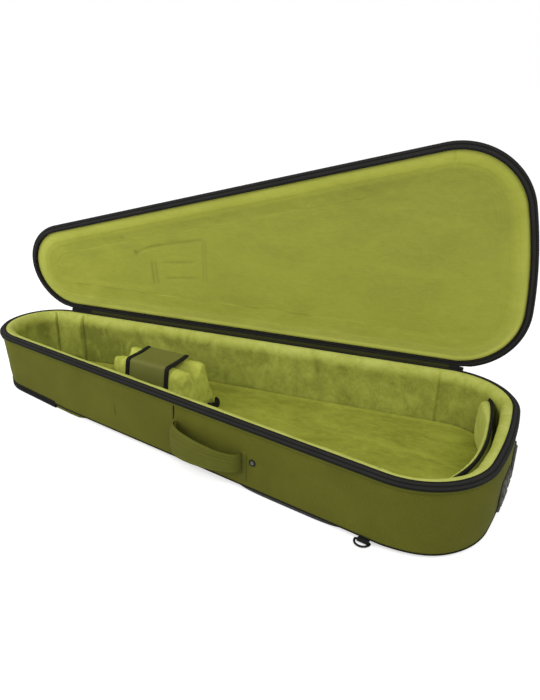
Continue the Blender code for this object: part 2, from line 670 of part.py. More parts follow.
def handle() -> None:
    """The padded grip, the two strap ends that carry it, their tabs and the stud beside them."""
    shares = [GRIP_SHARE * i / 4 for i in range(-4, 5)]
    grip = skin([handle_section(share, HANDLE_T) for share in shares])
    pivot = on_front(0.0, GAP + HANDLE_STRAP_T / 2, HANDLE_FOOT + HANDLE_W)
    add("handle_grip", grip, CANVAS, pivot)
    start = GRIP_SHARE + 2 * GAP / HANDLE_SPAN
    for name, side in (("head", -1), ("tail", 1)):
        ends = [side * (start + (1.0 - start) * part) for part in (0.0, 0.3, 0.6, 0.82, 0.95, 1.0)]
        add(f"handle_strap_{name}", skin([handle_section(share, HANDLE_STRAP_T) for share in ends]), CANVAS)
        inner = side * (HANDLE_SPAN / 2 + GAP)
        outer = side * (HANDLE_SPAN / 2 + TAB_W)
        low, high = HANDLE_FOOT, HANDLE_FOOT + HANDLE_W
        corners = ((inner, low), (outer, low), (outer, high), (inner, high))
        tab = skin([[on_front(run, out, z) for run, z in corners] for out in (GAP, GAP + TAB_T)])
        add(f"handle_tab_{name}", tab, CANVAS)
    away = HANDLE_SPAN / 2 + TAB_W + STUD_CLEAR + STUD_R
    loops = []
    for radius, out in ((STUD_R, GAP), (STUD_R, STUD_T * 0.5), (STUD_R * 0.55, STUD_T), (STUD_R * 0.5, STUD_T * 0.8)):
        turns = [2 * pi * i / 16 for i in range(16)]
        loops.append([on_front(away + radius * cos(t), out, STUD_Z + radius * sin(t)) for t in turns])
    add("handle_stud", skin(loops), STEEL)


def neck_section(x: float, z_slope: float, shrink: float) -> Points:
    """The neck rest's section: drawn-in sides and a round channel along the top."""
    foot, top, channel = NECK_FOOT_W / 2, NECK_TOP_W / 2, CHANNEL_W / 2
    half = [
        (foot - 3.0 * MM, 0.0),
        (foot, 4.0 * MM),
        (0.5 * (foot + top) + 1.0 * MM, 0.5 * NECK_H),
        (top, NECK_H - 6.0 * MM),
        (top - 4.0 * MM, NECK_H),
        (channel, NECK_H),
        (channel - 4.0 * MM, NECK_H - 0.5 * CHANNEL_D),
        (0.5 * channel, NECK_H - 0.93 * CHANNEL_D),
        (0.0, NECK_H - CHANNEL_D),
    ]
    section = half + [(-y, z) for y, z in half[-2::-1]]
    middle = 0.45 * NECK_H
    points = []
    for y, z in section:
        drawn = middle + (z - middle) * (shrink if z > middle else 1.0)
        points.append(Vector((x + z_slope * z / NECK_H, y * shrink, SEAT_Z + drawn)))
    return points


def neck_rest() -> None:
    """The padded neck rest, its strap with bound edges, and the pull loop at its foot."""
    x0, x1 = HEAD_X + NECK_X0, HEAD_X + NECK_X1
    rounding = 8.0 * MM
    sections = [
        neck_section(x0, NECK_END_SLOPE / 2, 0.93),
        neck_section(x0 + rounding, NECK_END_SLOPE / 2, 1.0),
        neck_section(x1 - rounding, -NECK_END_SLOPE, 1.0),
        neck_section(x1, -NECK_END_SLOPE, 0.93),
    ]
    add("neck_rest", skin(sections), PLUSH)
    clear = 2 * GAP
    slope = (NECK_FOOT_W - NECK_TOP_W) / 2 / NECK_H
    top = SEAT_Z + NECK_H + clear
    front = -NECK_TOP_W / 2 - clear - 1.0 * MM
    hinge_y = NECK_TOP_W / 2 - 4.0 * MM
    low = top - STRAP_DROP
    flare = slope * STRAP_DROP
    section = [
        (hinge_y, top),
        (front, top),
        (front - flare, low),
        (front - flare - STRAP_T, low),
        (front - STRAP_T, top),
        (front - 0.4 * STRAP_T, top + STRAP_T),
        (hinge_y, top + STRAP_T),
    ]
    pivot = Vector((HEAD_X + (STRAP_X0 + STRAP_X1) / 2, hinge_y, top))
    inner0 = STRAP_X0 + STRAP_BINDING_W
    inner1 = STRAP_X1 - STRAP_BINDING_W
    spans = (
        ("neck_strap", inner0 + GAP, inner1 - GAP, CLOTH),
        ("neck_strap_binding_head", STRAP_X0, inner0, WEBBING),
        ("neck_strap_binding_tail", inner1, STRAP_X1, WEBBING),
    )
    for name, start, end, paint in spans:
        loops = [[Vector((HEAD_X + x, y, z)) for y, z in section] for x in (start, end)]
        add(name, skin(loops), paint, pivot)
    loops = []
    band = ((LOOP_R, 0.0), (LOOP_R, LOOP_H), (LOOP_R - LOOP_T, LOOP_H), (LOOP_R - LOOP_T, 0.0))
    for i in range(LOOP_STEPS + 1):
        turn = LOOP_HALF_TURN * (2 * i / LOOP_STEPS - 1)
        away = Vector((cos(turn), sin(turn), 0.0))
        loops.append([Vector((x1, LOOP_Y, SEAT_Z + z)) + away * radius for radius, z in band])
    add("neck_rest_loop", skin(loops), WEBBING)


def divider_end(radius: float) -> float:
    """The angle at which an arc about the divider's centre comes up to the wall's lining."""
    centre = HEAD_X + DIVIDER_X - DIVIDER_R
    away = hypot(CORNER_X - centre, CORNER_Y)
    reach = TAIL_CORNER_R - WALL_T - ROLL_BULGE - 2 * GAP
    turn = acos((radius**2 + away**2 - reach**2) / (2 * radius * away))
    return atan2(CORNER_Y, CORNER_X - centre) + turn


def divider_wall(inner: float, outer: float, low: float, high: float, lobe: float = 0.0) -> bmesh.types.BMesh:
    """A curved upright wall across the tail end, between two radii."""
    loops = []
    for i in range(DIVIDER_STEPS + 1):
        share = 2 * i / DIVIDER_STEPS - 1
        near = inner - lobe * abs(share) ** 3
        loop = []
        for radius, z in ((near, low), (outer, low), (outer, high), (near, high)):
            turn = share * divider_end(outer if radius == outer else inner)
            x = HEAD_X + DIVIDER_X - DIVIDER_R + radius * cos(turn)
            loop.append(Vector((x, radius * sin(turn), z)))
        loops.append(loop)
    return skin(loops)


def divider() -> None:
    """The padded tail divider, its cloth backing and the bound top edge of the pocket."""
    top = PAD_T + DIVIDER_TOP
    body_top = top - DIVIDER_BINDING_T - GAP
    near = DIVIDER_R - DIVIDER_T + 3.0 * MM
    far = near + DIVIDER_T
    pad = divider_wall(near, far, SEAT_Z, body_top, DIVIDER_LOBE)
    add("tail_divider", pad, PLUSH)
    add("tail_divider_backing", divider_wall(far + GAP, far + GAP + BACKING_T, SEAT_Z, body_top), CLOTH)
    add("tail_divider_binding", divider_wall(near, far + GAP + BACKING_T, body_top + GAP, top), WEBBING)


def main() -> None:
    """Builds every piece of the bag."""
    for obj in list(bpy.data.objects):
        bpy.data.objects.remove(obj)
    base_shell()
    rim("base", base_rim_point)
    lid()
    hinge()
    zip_pullers()
    underside()
    strap_ring("front", -1)
    strap_ring("back", 1)
    traction_plate("front", -1)
    traction_plate("back", 1)
    handle()
    neck_rest()
    divider()


main()
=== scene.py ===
"""Looks of an acoustic guitar gig bag that lies open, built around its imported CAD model.

Metres, +Z up, in the frame of the CAD. The head end points along -X and the tail end along +X.
The handle side is -Y, the hinge side +Y, and the bag rests on the plane z = 0.
"""

from __future__ import annotations

import logging
from dataclasses import dataclass, field
from enum import Enum
from math import acos, asin, atan2, cos, hypot, pi, radians, sin, sqrt
from typing import Callable, Sequence

import bmesh
import bpy
import numpy as np
from mathutils import Matrix, Vector

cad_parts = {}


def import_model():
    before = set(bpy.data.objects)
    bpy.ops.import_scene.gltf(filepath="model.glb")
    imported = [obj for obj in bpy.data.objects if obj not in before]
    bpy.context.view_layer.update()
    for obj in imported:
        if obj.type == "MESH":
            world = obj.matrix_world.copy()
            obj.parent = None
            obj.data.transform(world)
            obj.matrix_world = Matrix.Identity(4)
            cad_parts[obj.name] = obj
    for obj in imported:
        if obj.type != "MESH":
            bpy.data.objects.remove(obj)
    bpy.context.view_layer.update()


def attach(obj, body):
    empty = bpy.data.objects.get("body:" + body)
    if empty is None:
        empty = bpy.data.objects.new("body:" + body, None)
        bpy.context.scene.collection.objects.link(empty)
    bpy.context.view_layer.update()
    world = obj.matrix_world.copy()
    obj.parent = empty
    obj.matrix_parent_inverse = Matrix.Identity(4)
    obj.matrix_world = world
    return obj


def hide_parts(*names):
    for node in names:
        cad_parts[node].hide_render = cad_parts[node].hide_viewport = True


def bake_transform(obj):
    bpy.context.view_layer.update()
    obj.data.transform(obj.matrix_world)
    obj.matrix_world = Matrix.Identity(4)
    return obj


LOG = logging.getLogger("gig_bag")
MM = 0.001
FILLING_FRAMES = 20  # how long a pad's cloth is let swell
UP = np.array([0.0, 0.0, 1.0])
DARKENING = "pressed"  # how much darker the velour is painted, as an attribute of each vertex: the pile pressed in the lid's marks, painted shade on the lid, and darker places on the wall

Grid = np.ndarray
Profile = Sequence[tuple[float, float]]


class Body(Enum):
    """The moving bodies of the CAD."""

    BASE = "base"
    LID = "lid"
    HANDLE = "handle"
    NECK_STRAP = "neck_strap"
    RING_FRONT = "d_ring_front"
    RING_BACK = "d_ring_back"
    PULL_HEAD = "zip_pull_head"
    PULL_TAIL = "zip_pull_tail"


class Shell(Enum):
    """The two halves of the bag."""

    BASE = "base"
    LID = "lid"


class Pattern(Enum):
    """The coordinates that a pattern follows: along the cloth, or in space."""

    ALONG = "UV"
    SPACE = "Object"


# ---- Finishes


def linear(colour: str) -> tuple[float, float, float, float]:
    """Turns an sRGB hex colour into linear light.

    Args:
        colour: A hex colour such as "#5f6128".

    Returns:
        Linear red, green, blue and an alpha of 1.
    """
    values = [int(colour[i : i + 2], 16) / 255 for i in (1, 3, 5)]
    light = [v / 12.92 if v <= 0.04045 else ((v + 0.055) / 1.055) ** 2.4 for v in values]
    return light[0], light[1], light[2], 1.0


def feed(tree: bpy.types.NodeTree, node: bpy.types.Node, inputs: dict) -> None:
    """Sets a node's inputs, or links them.

    Args:
        tree: The node tree.
        node: The node.
        inputs: Values, or the output sockets to link, by the input's name or index.
    """
    for key, value in inputs.items():
        if isinstance(value, bpy.types.NodeSocket):
            tree.links.new(value, node.inputs[key])
        else:
            node.inputs[key].default_value = value


def add_node(
    tree: bpy.types.NodeTree, kind: str, inputs: dict | Sequence = (), out: int | str | None = 0, **settings: object
) -> bpy.types.NodeSocket | bpy.types.Node:
    """Adds a node with its settings and links.

    Args:
        tree: The node tree.
        kind: The node's Blender type, without "ShaderNode".
        inputs: Values, or the output sockets to link, in order or by the input's name or index.
        out: The output to hand back, or None for the node itself.
        **settings: Properties of the node.

    Returns:
        The output's socket, or the new node.
    """
    made = tree.nodes.new("ShaderNode" + kind)
    for name, value in settings.items():
        setattr(made, name, value)
    feed(tree, made, inputs if isinstance(inputs, dict) else dict(enumerate(inputs)))
    return made if out is None else made.outputs[out]


def mingle(
    tree: bpy.types.NodeTree, parts: Sequence[tuple], middle: float = 0.5, clamp: bool = True
) -> bpy.types.NodeSocket:
    """Adds up patterns by weight.

    Args:
        tree: The node tree.
        parts: Each pattern's socket and its weight.
        middle: The sum where every pattern is at 0.5.
        clamp: Whether the sum is held from 0 to 1.

    Returns:
        The sum's socket.
    """
    total = middle - 0.5 * sum(weight for _, weight in parts)
    for i, (pattern, weight) in enumerate(parts):
        last = i == len(parts) - 1
        total = add_node(tree, "Math", (pattern, weight, total), operation="MULTIPLY_ADD", use_clamp=clamp and last)
    return total


@dataclass(frozen=True)
class Finish:
    """A surface finish, made as a node material once."""

    name: str
    shade: str = "#1a1a19"
    light: str = "#2e2e2b"
    middle: str = ""  # a third colour between the two, if it has one
    reach: tuple[float, float] = (0.0, 1.0)  # the shares at which shade and light are full

    def material(self) -> bpy.types.Material:
        """Makes the material, or finds it if it is there.

        Returns:
            The material.
        """
        found = bpy.data.materials.get(self.name)
        if found:
            return found
        made = bpy.data.materials.new(self.name)
        made.use_nodes = True
        self.paint(made.node_tree, made.node_tree.nodes["Principled BSDF"])
        return made

    def paint(self, tree: bpy.types.NodeTree, shader: bpy.types.Node) -> None:
        """Adds the finish's nodes.

        Args:
            tree: The material's node tree.
            shader: Its Principled BSDF.
        """
        raise NotImplementedError

    def coat(
        self,
        tree: bpy.types.NodeTree,
        shader: bpy.types.Node,
        share: bpy.types.NodeSocket,
        relief: Sequence,
        inputs: dict,
    ) -> None:
        """Links the colours and the relief to the shader, and sets its other inputs.

        Args:
            tree: The material's node tree.
            shader: Its Principled BSDF.
            share: How light the surface is, from 0 to 1.
            relief: The relief's strength, its real depth in metres and its height's socket.
            inputs: The shader's other inputs.
        """
        ramp = add_node(tree, "ValToRGB", (share,), out=None)
        stops = ramp.color_ramp.elements
        for stop, place, colour in zip(stops, self.reach, (self.shade, self.light)):
            stop.position, stop.color = place, linear(colour)
        if self.middle:
            stops.new(0.5).color = linear(self.middle)
        normal = add_node(tree, "Bump", dict(zip(("Strength", "Distance", "Height"), relief)))
        feed(tree, shader, {"Base Color": ramp.outputs[0], "Normal": normal, **inputs})

    @staticmethod
    def place(tree: bpy.types.NodeTree, pattern: Pattern, stretch: tuple = (1, 1, 1)) -> bpy.types.NodeSocket:
        """Adds the pattern's coordinates, in metres.

        Args:
            tree: The material's node tree.
            pattern: Along the cloth or in space.
            stretch: What each coordinate is multiplied by.

        Returns:
            The coordinates' socket.
        """
        source = add_node(tree, "TexCoord", out=pattern.value)
        return add_node(tree, "VectorMath", (source, stretch), operation="MULTIPLY")


@dataclass(frozen=True)
class Woven(Finish):
    """Plain-woven polyester: threads over and under, mottled dye and a matte face."""

    thread: float = 1.8 * MM
    relief: float = 0.35 * MM
    roughness: float = 0.88
    sheen: float = 0.12
    cover: float = 0.45  # how far the threads' own light and dark show in the colour

    def threads(self, tree: bpy.types.NodeTree) -> bpy.types.NodeSocket:
        """Adds the height of a plain weave.

        Args:
            tree: The material's node tree.

        Returns:
            The height's socket, from 0 to 1.
        """
        vector = self.place(tree, Pattern.ALONG, (1.0 / self.thread,) * 3)
        split = add_node(tree, "SeparateXYZ", (vector,), out=None)
        crowns, cells = [], []
        for axis in (0, 1):
            part = add_node(tree, "Math", (split.outputs[axis],), operation="FRACT")
            cells.append(add_node(tree, "Math", (split.outputs[axis],), operation="FLOOR"))
            rest = add_node(tree, "Math", (part, -4.0, 4.0), operation="MULTIPLY_ADD")
            crowns.append(add_node(tree, "Math", (part, rest), operation="MULTIPLY"))
        cell = add_node(tree, "Math", cells, operation="ADD")
        parity = add_node(tree, "Math", (cell, 1.0), operation="PINGPONG")
        both = add_node(tree, "Math", crowns, operation="MULTIPLY")
        over = [mingle(tree, [(crown, 0.45), (both, 0.55)], clamp=False) for crown in crowns]
        return add_node(tree, "Mix", {0: parity, 2: over[0], 3: over[1]}, data_type="FLOAT")

    def paint(self, tree: bpy.types.NodeTree, shader: bpy.types.Node) -> None:
        """Adds the weave, its dye and its wear.

        Args:
            tree: The material's node tree.
            shader: Its Principled BSDF.
        """
        space = self.place(tree, Pattern.SPACE)
        along = self.place(tree, Pattern.ALONG, (1.0, 6.0, 1.0))
        weave = self.threads(tree)
        dye = add_node(tree, "TexNoise", {"Vector": space, "Scale": 1 / (90 * MM), "Detail": 3.0, "Distortion": 0.6})
        slub = add_node(tree, "TexNoise", {"Vector": along, "Scale": 1 / (6 * MM), "Detail": 2.0})
        fuzz = add_node(tree, "TexNoise", {"Vector": space, "Scale": 1 / (0.9 * MM), "Detail": 1.0})
        share = mingle(tree, [(weave, self.cover), (dye, 0.55), (slub, 0.35), (fuzz, 0.4)])
        height = mingle(tree, [(weave, 1.0), (fuzz, 0.5)], clamp=False)
        inputs = {"Roughness": self.roughness, "Specular IOR Level": 0.15, "Sheen Weight": self.sheen}
        inputs |= {"Sheen Roughness": 0.5, "Sheen Tint": linear(self.light)}
        self.coat(tree, shader, share, (1.0, self.relief, height), inputs)


@dataclass(frozen=True)
class Plush(Finish):
    """Short polyester velour: a cut pile that lies light or dark as it was last brushed, with a painted highlight along
    its rim.
    """

    reach: tuple[float, float] = (0.05, 0.95)
    patch: float = 45 * MM
    contrast: float = 1.0
    sheen: float = 0.3
    stroke: tuple[float, float, float] = (1.0, 1.0, 0.45)
    rim: float = 0.0  # how wide the painted highlight is, from the start of the cloth's rows: it stands in for light from above on a rolled rim

    def paint(self, tree: bpy.types.NodeTree, shader: bpy.types.Node) -> None:
        """Adds the brushed nap and the pile's own grain.

        Args:
            tree: The material's node tree.
            shader: Its Principled BSDF.
        """
        space, brushed = self.place(tree, Pattern.SPACE), self.place(tree, Pattern.SPACE, self.stroke)
        patches = {"Vector": brushed, "Scale": 1 / self.patch, "Detail": 4.0, "Distortion": 1.1}
        strokes = {"Vector": brushed, "Scale": 1 / (9 * MM), "Detail": 3.0, "Distortion": 0.8}
        # A pile of 0.3 mm is drawn at 1.3 mm, because finer pile would not show at all.
        pile = {"Vector": space, "Scale": 1 / (1.3 * MM), "Detail": 1.0}
        patches, strokes, pile = (add_node(tree, "TexNoise", inputs) for inputs in (patches, strokes, pile))
        # The darkening attribute: pressed pile, and painted shade on the lid.
        pressed = add_node(tree, "Attribute", out="Fac", attribute_name=DARKENING)
        weight, middle, near = self.contrast, 0.0, []
        # The rim's painted highlight: the colour is lighter where the cloth's second coordinate is small, along the
        # rolled rim, as if lit from above.
        if self.rim:
            split = add_node(tree, "SeparateXYZ", (self.place(tree, Pattern.ALONG),), out=1)
            away = add_node(tree, "Math", (split, -1 / self.rim, 1.35), operation="MULTIPLY_ADD", use_clamp=True)
            weight, middle, near = 0.8 * self.contrast, 0.11, [(away, 0.5)]
        parts = [(patches, 1.5 * weight), (strokes, 0.8 * weight), (pile, 0.45 * weight), *near, (pressed, -1.0)]
        share = mingle(tree, parts, middle)
        height = mingle(tree, [(pile, 1.0), (strokes, 1.6)], clamp=False)
        inputs = {"Roughness": 0.95, "Specular IOR Level": 0.1, "Sheen Weight": self.sheen}
        inputs |= {"Sheen Roughness": 0.35, "Sheen Tint": linear(self.light)}
        self.coat(tree, shader, share, (0.7, 0.5 * MM, height), inputs)


@dataclass(frozen=True)
class Ribbed(Finish):
    """Woven tape: warp cords that run along it, close together, with a dull face."""

    rib: float = 1.6 * MM
    relief: float = 0.3 * MM
    gloss: float = 0.12

    def paint(self, tree: bpy.types.NodeTree, shader: bpy.types.Node) -> None:
        """Adds the cords and the dye's small changes.

        Args:
            tree: The material's node tree.
            shader: Its Principled BSDF.
        """
        turns = (2 * pi / (1.4 * self.rib), 2 * pi / self.rib, 1.0)
        split = add_node(tree, "SeparateXYZ", (self.place(tree, Pattern.ALONG, turns),), out=None)
        picks, cords = (add_node(tree, "Math", (split.outputs[i],), operation="SINE") for i in (0, 1))
        space = self.place(tree, Pattern.SPACE)
        dye = add_node(tree, "TexNoise", {"Vector": space, "Scale": 1 / (40 * MM), "Detail": 3.0})
        fuzz = add_node(tree, "TexNoise", {"Vector": space, "Scale": 1 / (0.8 * MM), "Detail": 1.0})
        share = mingle(tree, [(cords, 0.15), (picks, 0.0675), (dye, 0.6), (fuzz, 0.5)], 0.62625)
        height = mingle(tree, [(cords, 0.5), (picks, 0.225)], clamp=False)
        inputs = {"Roughness": 0.8, "Specular IOR Level": self.gloss}
        self.coat(tree, shader, share, (1.0, self.relief, height), inputs)


@dataclass(frozen=True)
class Moulded(Finish):
    """Moulded rubber or nylon: a fine spark-eroded grain, duller and greyer where it is rubbed, lighter on sharp edges,
    partly rubbed wear and partly a painted highlight, and darker in hollows as painted shade.
    """

    roughness: float = 0.6
    grain: float = 0.8 * MM
    relief: float = 0.12 * MM
    gloss: float = 0.4

    def paint(self, tree: bpy.types.NodeTree, shader: bpy.types.Node) -> None:
        """Adds the grain, the rubbed places, and the lighter edges and darker hollows.

        Args:
            tree: The material's node tree.
            shader: Its Principled BSDF.
        """
        space = self.place(tree, Pattern.SPACE)
        grain = add_node(tree, "TexNoise", {"Vector": space, "Scale": 1 / self.grain, "Detail": 2.0})
        rubbed = {"Vector": space, "Scale": 1 / (14 * MM), "Detail": 4.0, "Distortion": 0.5}
        rubbed = add_node(tree, "TexNoise", rubbed)
        # The pointiness makes sharp edges lighter, partly rubbed wear and partly a painted highlight, and hollows
        # darker as painted shade.
        edges = add_node(tree, "NewGeometry", out="Pointiness")
        share = mingle(tree, [(edges, 4.0), (rubbed, 0.7)], 0.35)
        rough = mingle(tree, [(rubbed, 0.2)], self.roughness, clamp=False)
        inputs = {"Roughness": rough, "Specular IOR Level": self.gloss}
        self.coat(tree, shader, share, (1.0, self.relief, grain), inputs)


@dataclass(frozen=True)
class Plated(Finish):
    """Black-plated steel: a thin dark coat with small rubbed, brighter places."""

    shade: str = "#191918"
    light: str = "#4a4a47"

    def paint(self, tree: bpy.types.NodeTree, shader: bpy.types.Node) -> None:
        """Adds the coat's uneven gloss and wear.

        Args:
            tree: The material's node tree.
            shader: Its Principled BSDF.
        """
        inputs = {"Vector": self.place(tree, Pattern.SPACE), "Scale": 1 / (5 * MM), "Detail": 5.0, "Distortion": 0.4}
        worn = add_node(tree, "TexNoise", inputs)
        share = mingle(tree, [(worn, 3.0)], -0.15)
        rough = mingle(tree, [(worn, 0.3)], 0.35, clamp=False)
        self.coat(tree, shader, share, (1.0, 0.05 * MM, worn), {"Metallic": 0.85, "Roughness": rough})


@dataclass(frozen=True)
class Spacer(Finish):
    """Spacer mesh: an open knit of small six-sided holes over a dark foam."""

    shade: str = "#11110f"
    light: str = "#2f2f2b"
    hole: float = 3.2 * MM

    def paint(self, tree: bpy.types.NodeTree, shader: bpy.types.Node) -> None:
        """Adds the knit's holes.

        Args:
            tree: The material's node tree.
            shader: Its Principled BSDF.
        """
        inputs = {"Vector": self.place(tree, Pattern.SPACE), "Scale": 1.0 / self.hole, "Randomness": 0.25}
        cell = add_node(tree, "TexVoronoi", inputs, feature="DISTANCE_TO_EDGE")
        share = mingle(tree, [(cell, -3.2)], -0.6)
        self.coat(tree, shader, share, (1.0, 0.6 * MM, share), {"Roughness": 0.85})


# Polyester canvas, piece-dyed olive: matte, a little lighter on the thread crowns. Its threads of about
# 0.5 mm are drawn at 2.2 mm, so that the weave shows in the render.
CANVAS = Woven("woven olive canvas", "#43450f", "#68691f", thread=2.2 * MM, sheen=0.0, cover=0.7)
CANVAS_TRIM = Woven("olive canvas trim", "#494b16", "#656723", thread=1.3 * MM, relief=0.25 * MM, sheen=0.02)
# Lining cloths, finer and a little shinier than the canvas, also drawn coarser than they are.
CLOTH = Woven(
    "olive lining cloth", "#62632a", "#76783b", thread=1.1 * MM, relief=0.15 * MM, roughness=0.55, sheen=0.1
)
# The hinge's gusset is olive cloth; its dark colour is painted shade, for the shadow that it lies in.
SHADED_GUSSET_CLOTH = Woven("olive gusset cloth in painted shade", "#25260f", "#37391a", thread=1.1 * MM, relief=0.18 * MM)
BACKING = Woven("lime backing cloth", "#7c7f36", "#95984a", thread=1.1 * MM, relief=0.15 * MM)
# Velour: the walls are brushed by use, the lid's panel lies nearly even. The wall's rolled top and the lid's border get
# a painted highlight.
WALL_PLUSH = Plush(
    "lime velour wall", "#7b7f34", "#b9be64", "#a1a649", patch=42 * MM, contrast=0.75, stroke=(1, 1, 0.8), rim=32 * MM
)
FLOOR_PLUSH = Plush(
    "lime velour floor", "#7b7f2f", "#adb14c", "#979b3b", patch=70 * MM, contrast=0.85, stroke=(0.5, 1, 1)
)
LID_PLUSH = Plush(
    "lime velour lid", "#868a3a", "#b0b452", "#9da141", patch=110 * MM, contrast=0.45, stroke=(0.5, 1, 1), rim=30 * MM
)
REST_PLUSH = Plush(
    "lime velour neck rest", "#8f943e", "#c6cb68", "#b1b64f", patch=24 * MM, contrast=0.7, stroke=(1, 1, 0.6)
)
# Woven nylon tapes: dull, their ribs drawn about twice as coarse as they are, so that they show.
TAPE = Ribbed("charcoal woven tape")
BINDING = Ribbed("charcoal rim binding", light="#302f2d", rib=2.4 * MM)
WEBBING = Ribbed("black webbing", "#121211", "#242422", rib=1.9 * MM, relief=0.5 * MM)
# Moulded nylon and rubber, and twisted thread, which is as smooth from here.
COIL = Moulded("black nylon coil", "#0c0c0b", "#191918", roughness=0.7, relief=0.05 * MM, gloss=0.1)
RUBBER = Moulded("dark moulded rubber", "#1b1b19", "#3c3c38", gloss=0.1)
# The nubs are the plates' rubber; their lighter grey is a painted highlight.
NUB_HIGHLIGHT_RUBBER = Moulded("rubber with painted nub highlight", "#44443f", "#8e8e86", gloss=0.2)
GUARD_RUBBER = Moulded("black moulded guard rubber", "#121211", "#292927", roughness=0.8, gloss=0.03)
OLIVE_THREAD = Moulded("olive polyester thread", "#484a1a", "#606228", roughness=0.7, grain=0.4 * MM)
BLACK_THREAD = Moulded("black polyester thread", "#0d0d0c", "#1b1b1a", roughness=0.8, grain=0.4 * MM, gloss=0.1)
# Steel: the rings and sliders are plated black, the stud's centre is rubbed grey.
STEEL = Plated("black plated steel")
RIVET = Plated("grey rivet steel", "#55554f", "#8a8a82")
SPACER = Spacer("black spacer mesh")


# ---- Shapes


def unit(vectors: Grid) -> Grid:
    """Scales vectors to length 1."""
    return vectors / np.maximum(np.linalg.norm(vectors, axis=-1, keepdims=True), 1e-12)


def hump(distance: Grid | float, width: float) -> Grid:
    """A bell-shaped weight, 1 at distance 0 and near 0 beyond twice the width."""
    return np.exp(-((np.asarray(distance, float) / width) ** 2))


def ease(value: Grid | float, low: float, high: float) -> Grid:
    """A smooth step from 0 at low to 1 at high."""
    share = np.clip((np.asarray(value, float) - low) / (high - low), 0.0, 1.0)
    return share * share * (3.0 - 2.0 * share)


def linked(name: str, data: bpy.types.ID) -> bpy.types.Object:
    """Puts data into the scene as an object.

    Args:
        name: The object's name.
        data: A mesh, a lamp or a camera.

    Returns:
        The object.
    """
    made = bpy.data.objects.new(name, data)
    bpy.context.scene.collection.objects.link(made)
    return made


def places(mesh: bpy.types.Mesh) -> Grid:
    """The places of a mesh's vertices, one row each."""
    spots = np.empty(len(mesh.vertices) * 3)
    mesh.vertices.foreach_get("co", spots)
    return spots.reshape(-1, 3)


def bulged(values: Grid, power: float) -> Grid:
    """Raises values to a power and keeps their signs, which squares off a circle."""
    return np.sign(values) * np.abs(values) ** power


def raised(flat: Grid, height: Grid | float) -> Grid:
    """Gives plan points their height."""
    return np.concatenate([flat, np.broadcast_to(height, flat.shape[:-1])[..., None]], axis=-1)


def spread(profile: Grid, runs: Grid) -> tuple[Grid, Grid]:
    """Repeats a profile's insets and heights for every column."""
    inset, height, _ = np.broadcast_arrays(profile[:, :1], profile[:, 1:], np.zeros((1, len(runs))))
    return inset, height


def strip_outline(line: Grid, half: float) -> Grid:
    """The outline of a strip that follows a flat line.

    Args:
        line: The strip's middle line, one row for each point.
        half: Half its thickness.

    Returns:
        The outline's points, one row each.
    """
    ahead = unit(np.gradient(line, axis=0))
    side = np.stack([ahead[:, 1], -ahead[:, 0]], axis=1) * half
    return np.vstack([line + side, (line - side)[::-1]])


def smooth_line(points: Sequence[Sequence[float]], step: float) -> Grid:
    """Draws a smooth line through points.

    Args:
        points: The points, in two or three coordinates.
        step: About how far apart the line's own points are.

    Returns:
        The line's points, one row each.
    """
    knots = np.asarray(points, float)
    padded = np.vstack([2 * knots[0] - knots[1], knots, 2 * knots[-1] - knots[-2]])
    line = []
    for i in range(1, len(padded) - 2):
        before, start, end, after = padded[i - 1 : i + 3]
        count = max(2, int(np.linalg.norm(end - start) / step) + 1)
        t = np.linspace(0, 1, count, endpoint=False)[:, None]
        bend = (2 * before - 5 * start + 4 * end - after) * t**2 + (3 * start - before - 3 * end + after) * t**3
        line.append(0.5 * (2 * start + (end - before) * t + bend))
    return np.vstack(line + [knots[-1:]])


@dataclass(frozen=True)
class Ripples:
    """A soft, even unrest of a surface: waves of about one length in many directions."""

    length: float
    height: float
    seed: int
    count: int = 14

    def at(self, points: Grid) -> Grid:
        """The ripples' height at points in space.

        Args:
            points: An array whose last axis holds x, y and z.

        Returns:
            Heights in metres, about from -height to height.
        """
        dice = np.random.default_rng(self.seed)
        heading = unit(dice.normal(size=(self.count, 3)))
        waves = heading * (2 * pi / self.length * dice.uniform(0.6, 1.5, (self.count, 1)))
        phase = dice.uniform(0, 2 * pi, self.count)
        return self.height * sqrt(2 / self.count) * np.sin(np.asarray(points) @ waves.T + phase).sum(-1) / 1.4


def solid(name: str, vertices: Grid, faces: Sequence[Sequence[int]]) -> bpy.types.Object:
    """Makes a closed object from vertices and faces, which are turned to point out of it.

    Args:
        name: The object's name.
        vertices: Their places, one row each.
        faces: Indexes of each face's vertices.

    Returns:
        The object, linked to the scene and shaded smooth.
    """
    mesh = bpy.data.meshes.new(name)
    mesh.from_pydata(np.asarray(vertices).tolist(), [], [list(face) for face in faces])
    turned = bmesh.new()
    turned.from_mesh(mesh)
    bmesh.ops.recalc_face_normals(turned, faces=turned.faces)
    turned.to_mesh(mesh)
    turned.free()
    mesh.shade_smooth()
    return linked(name, mesh)


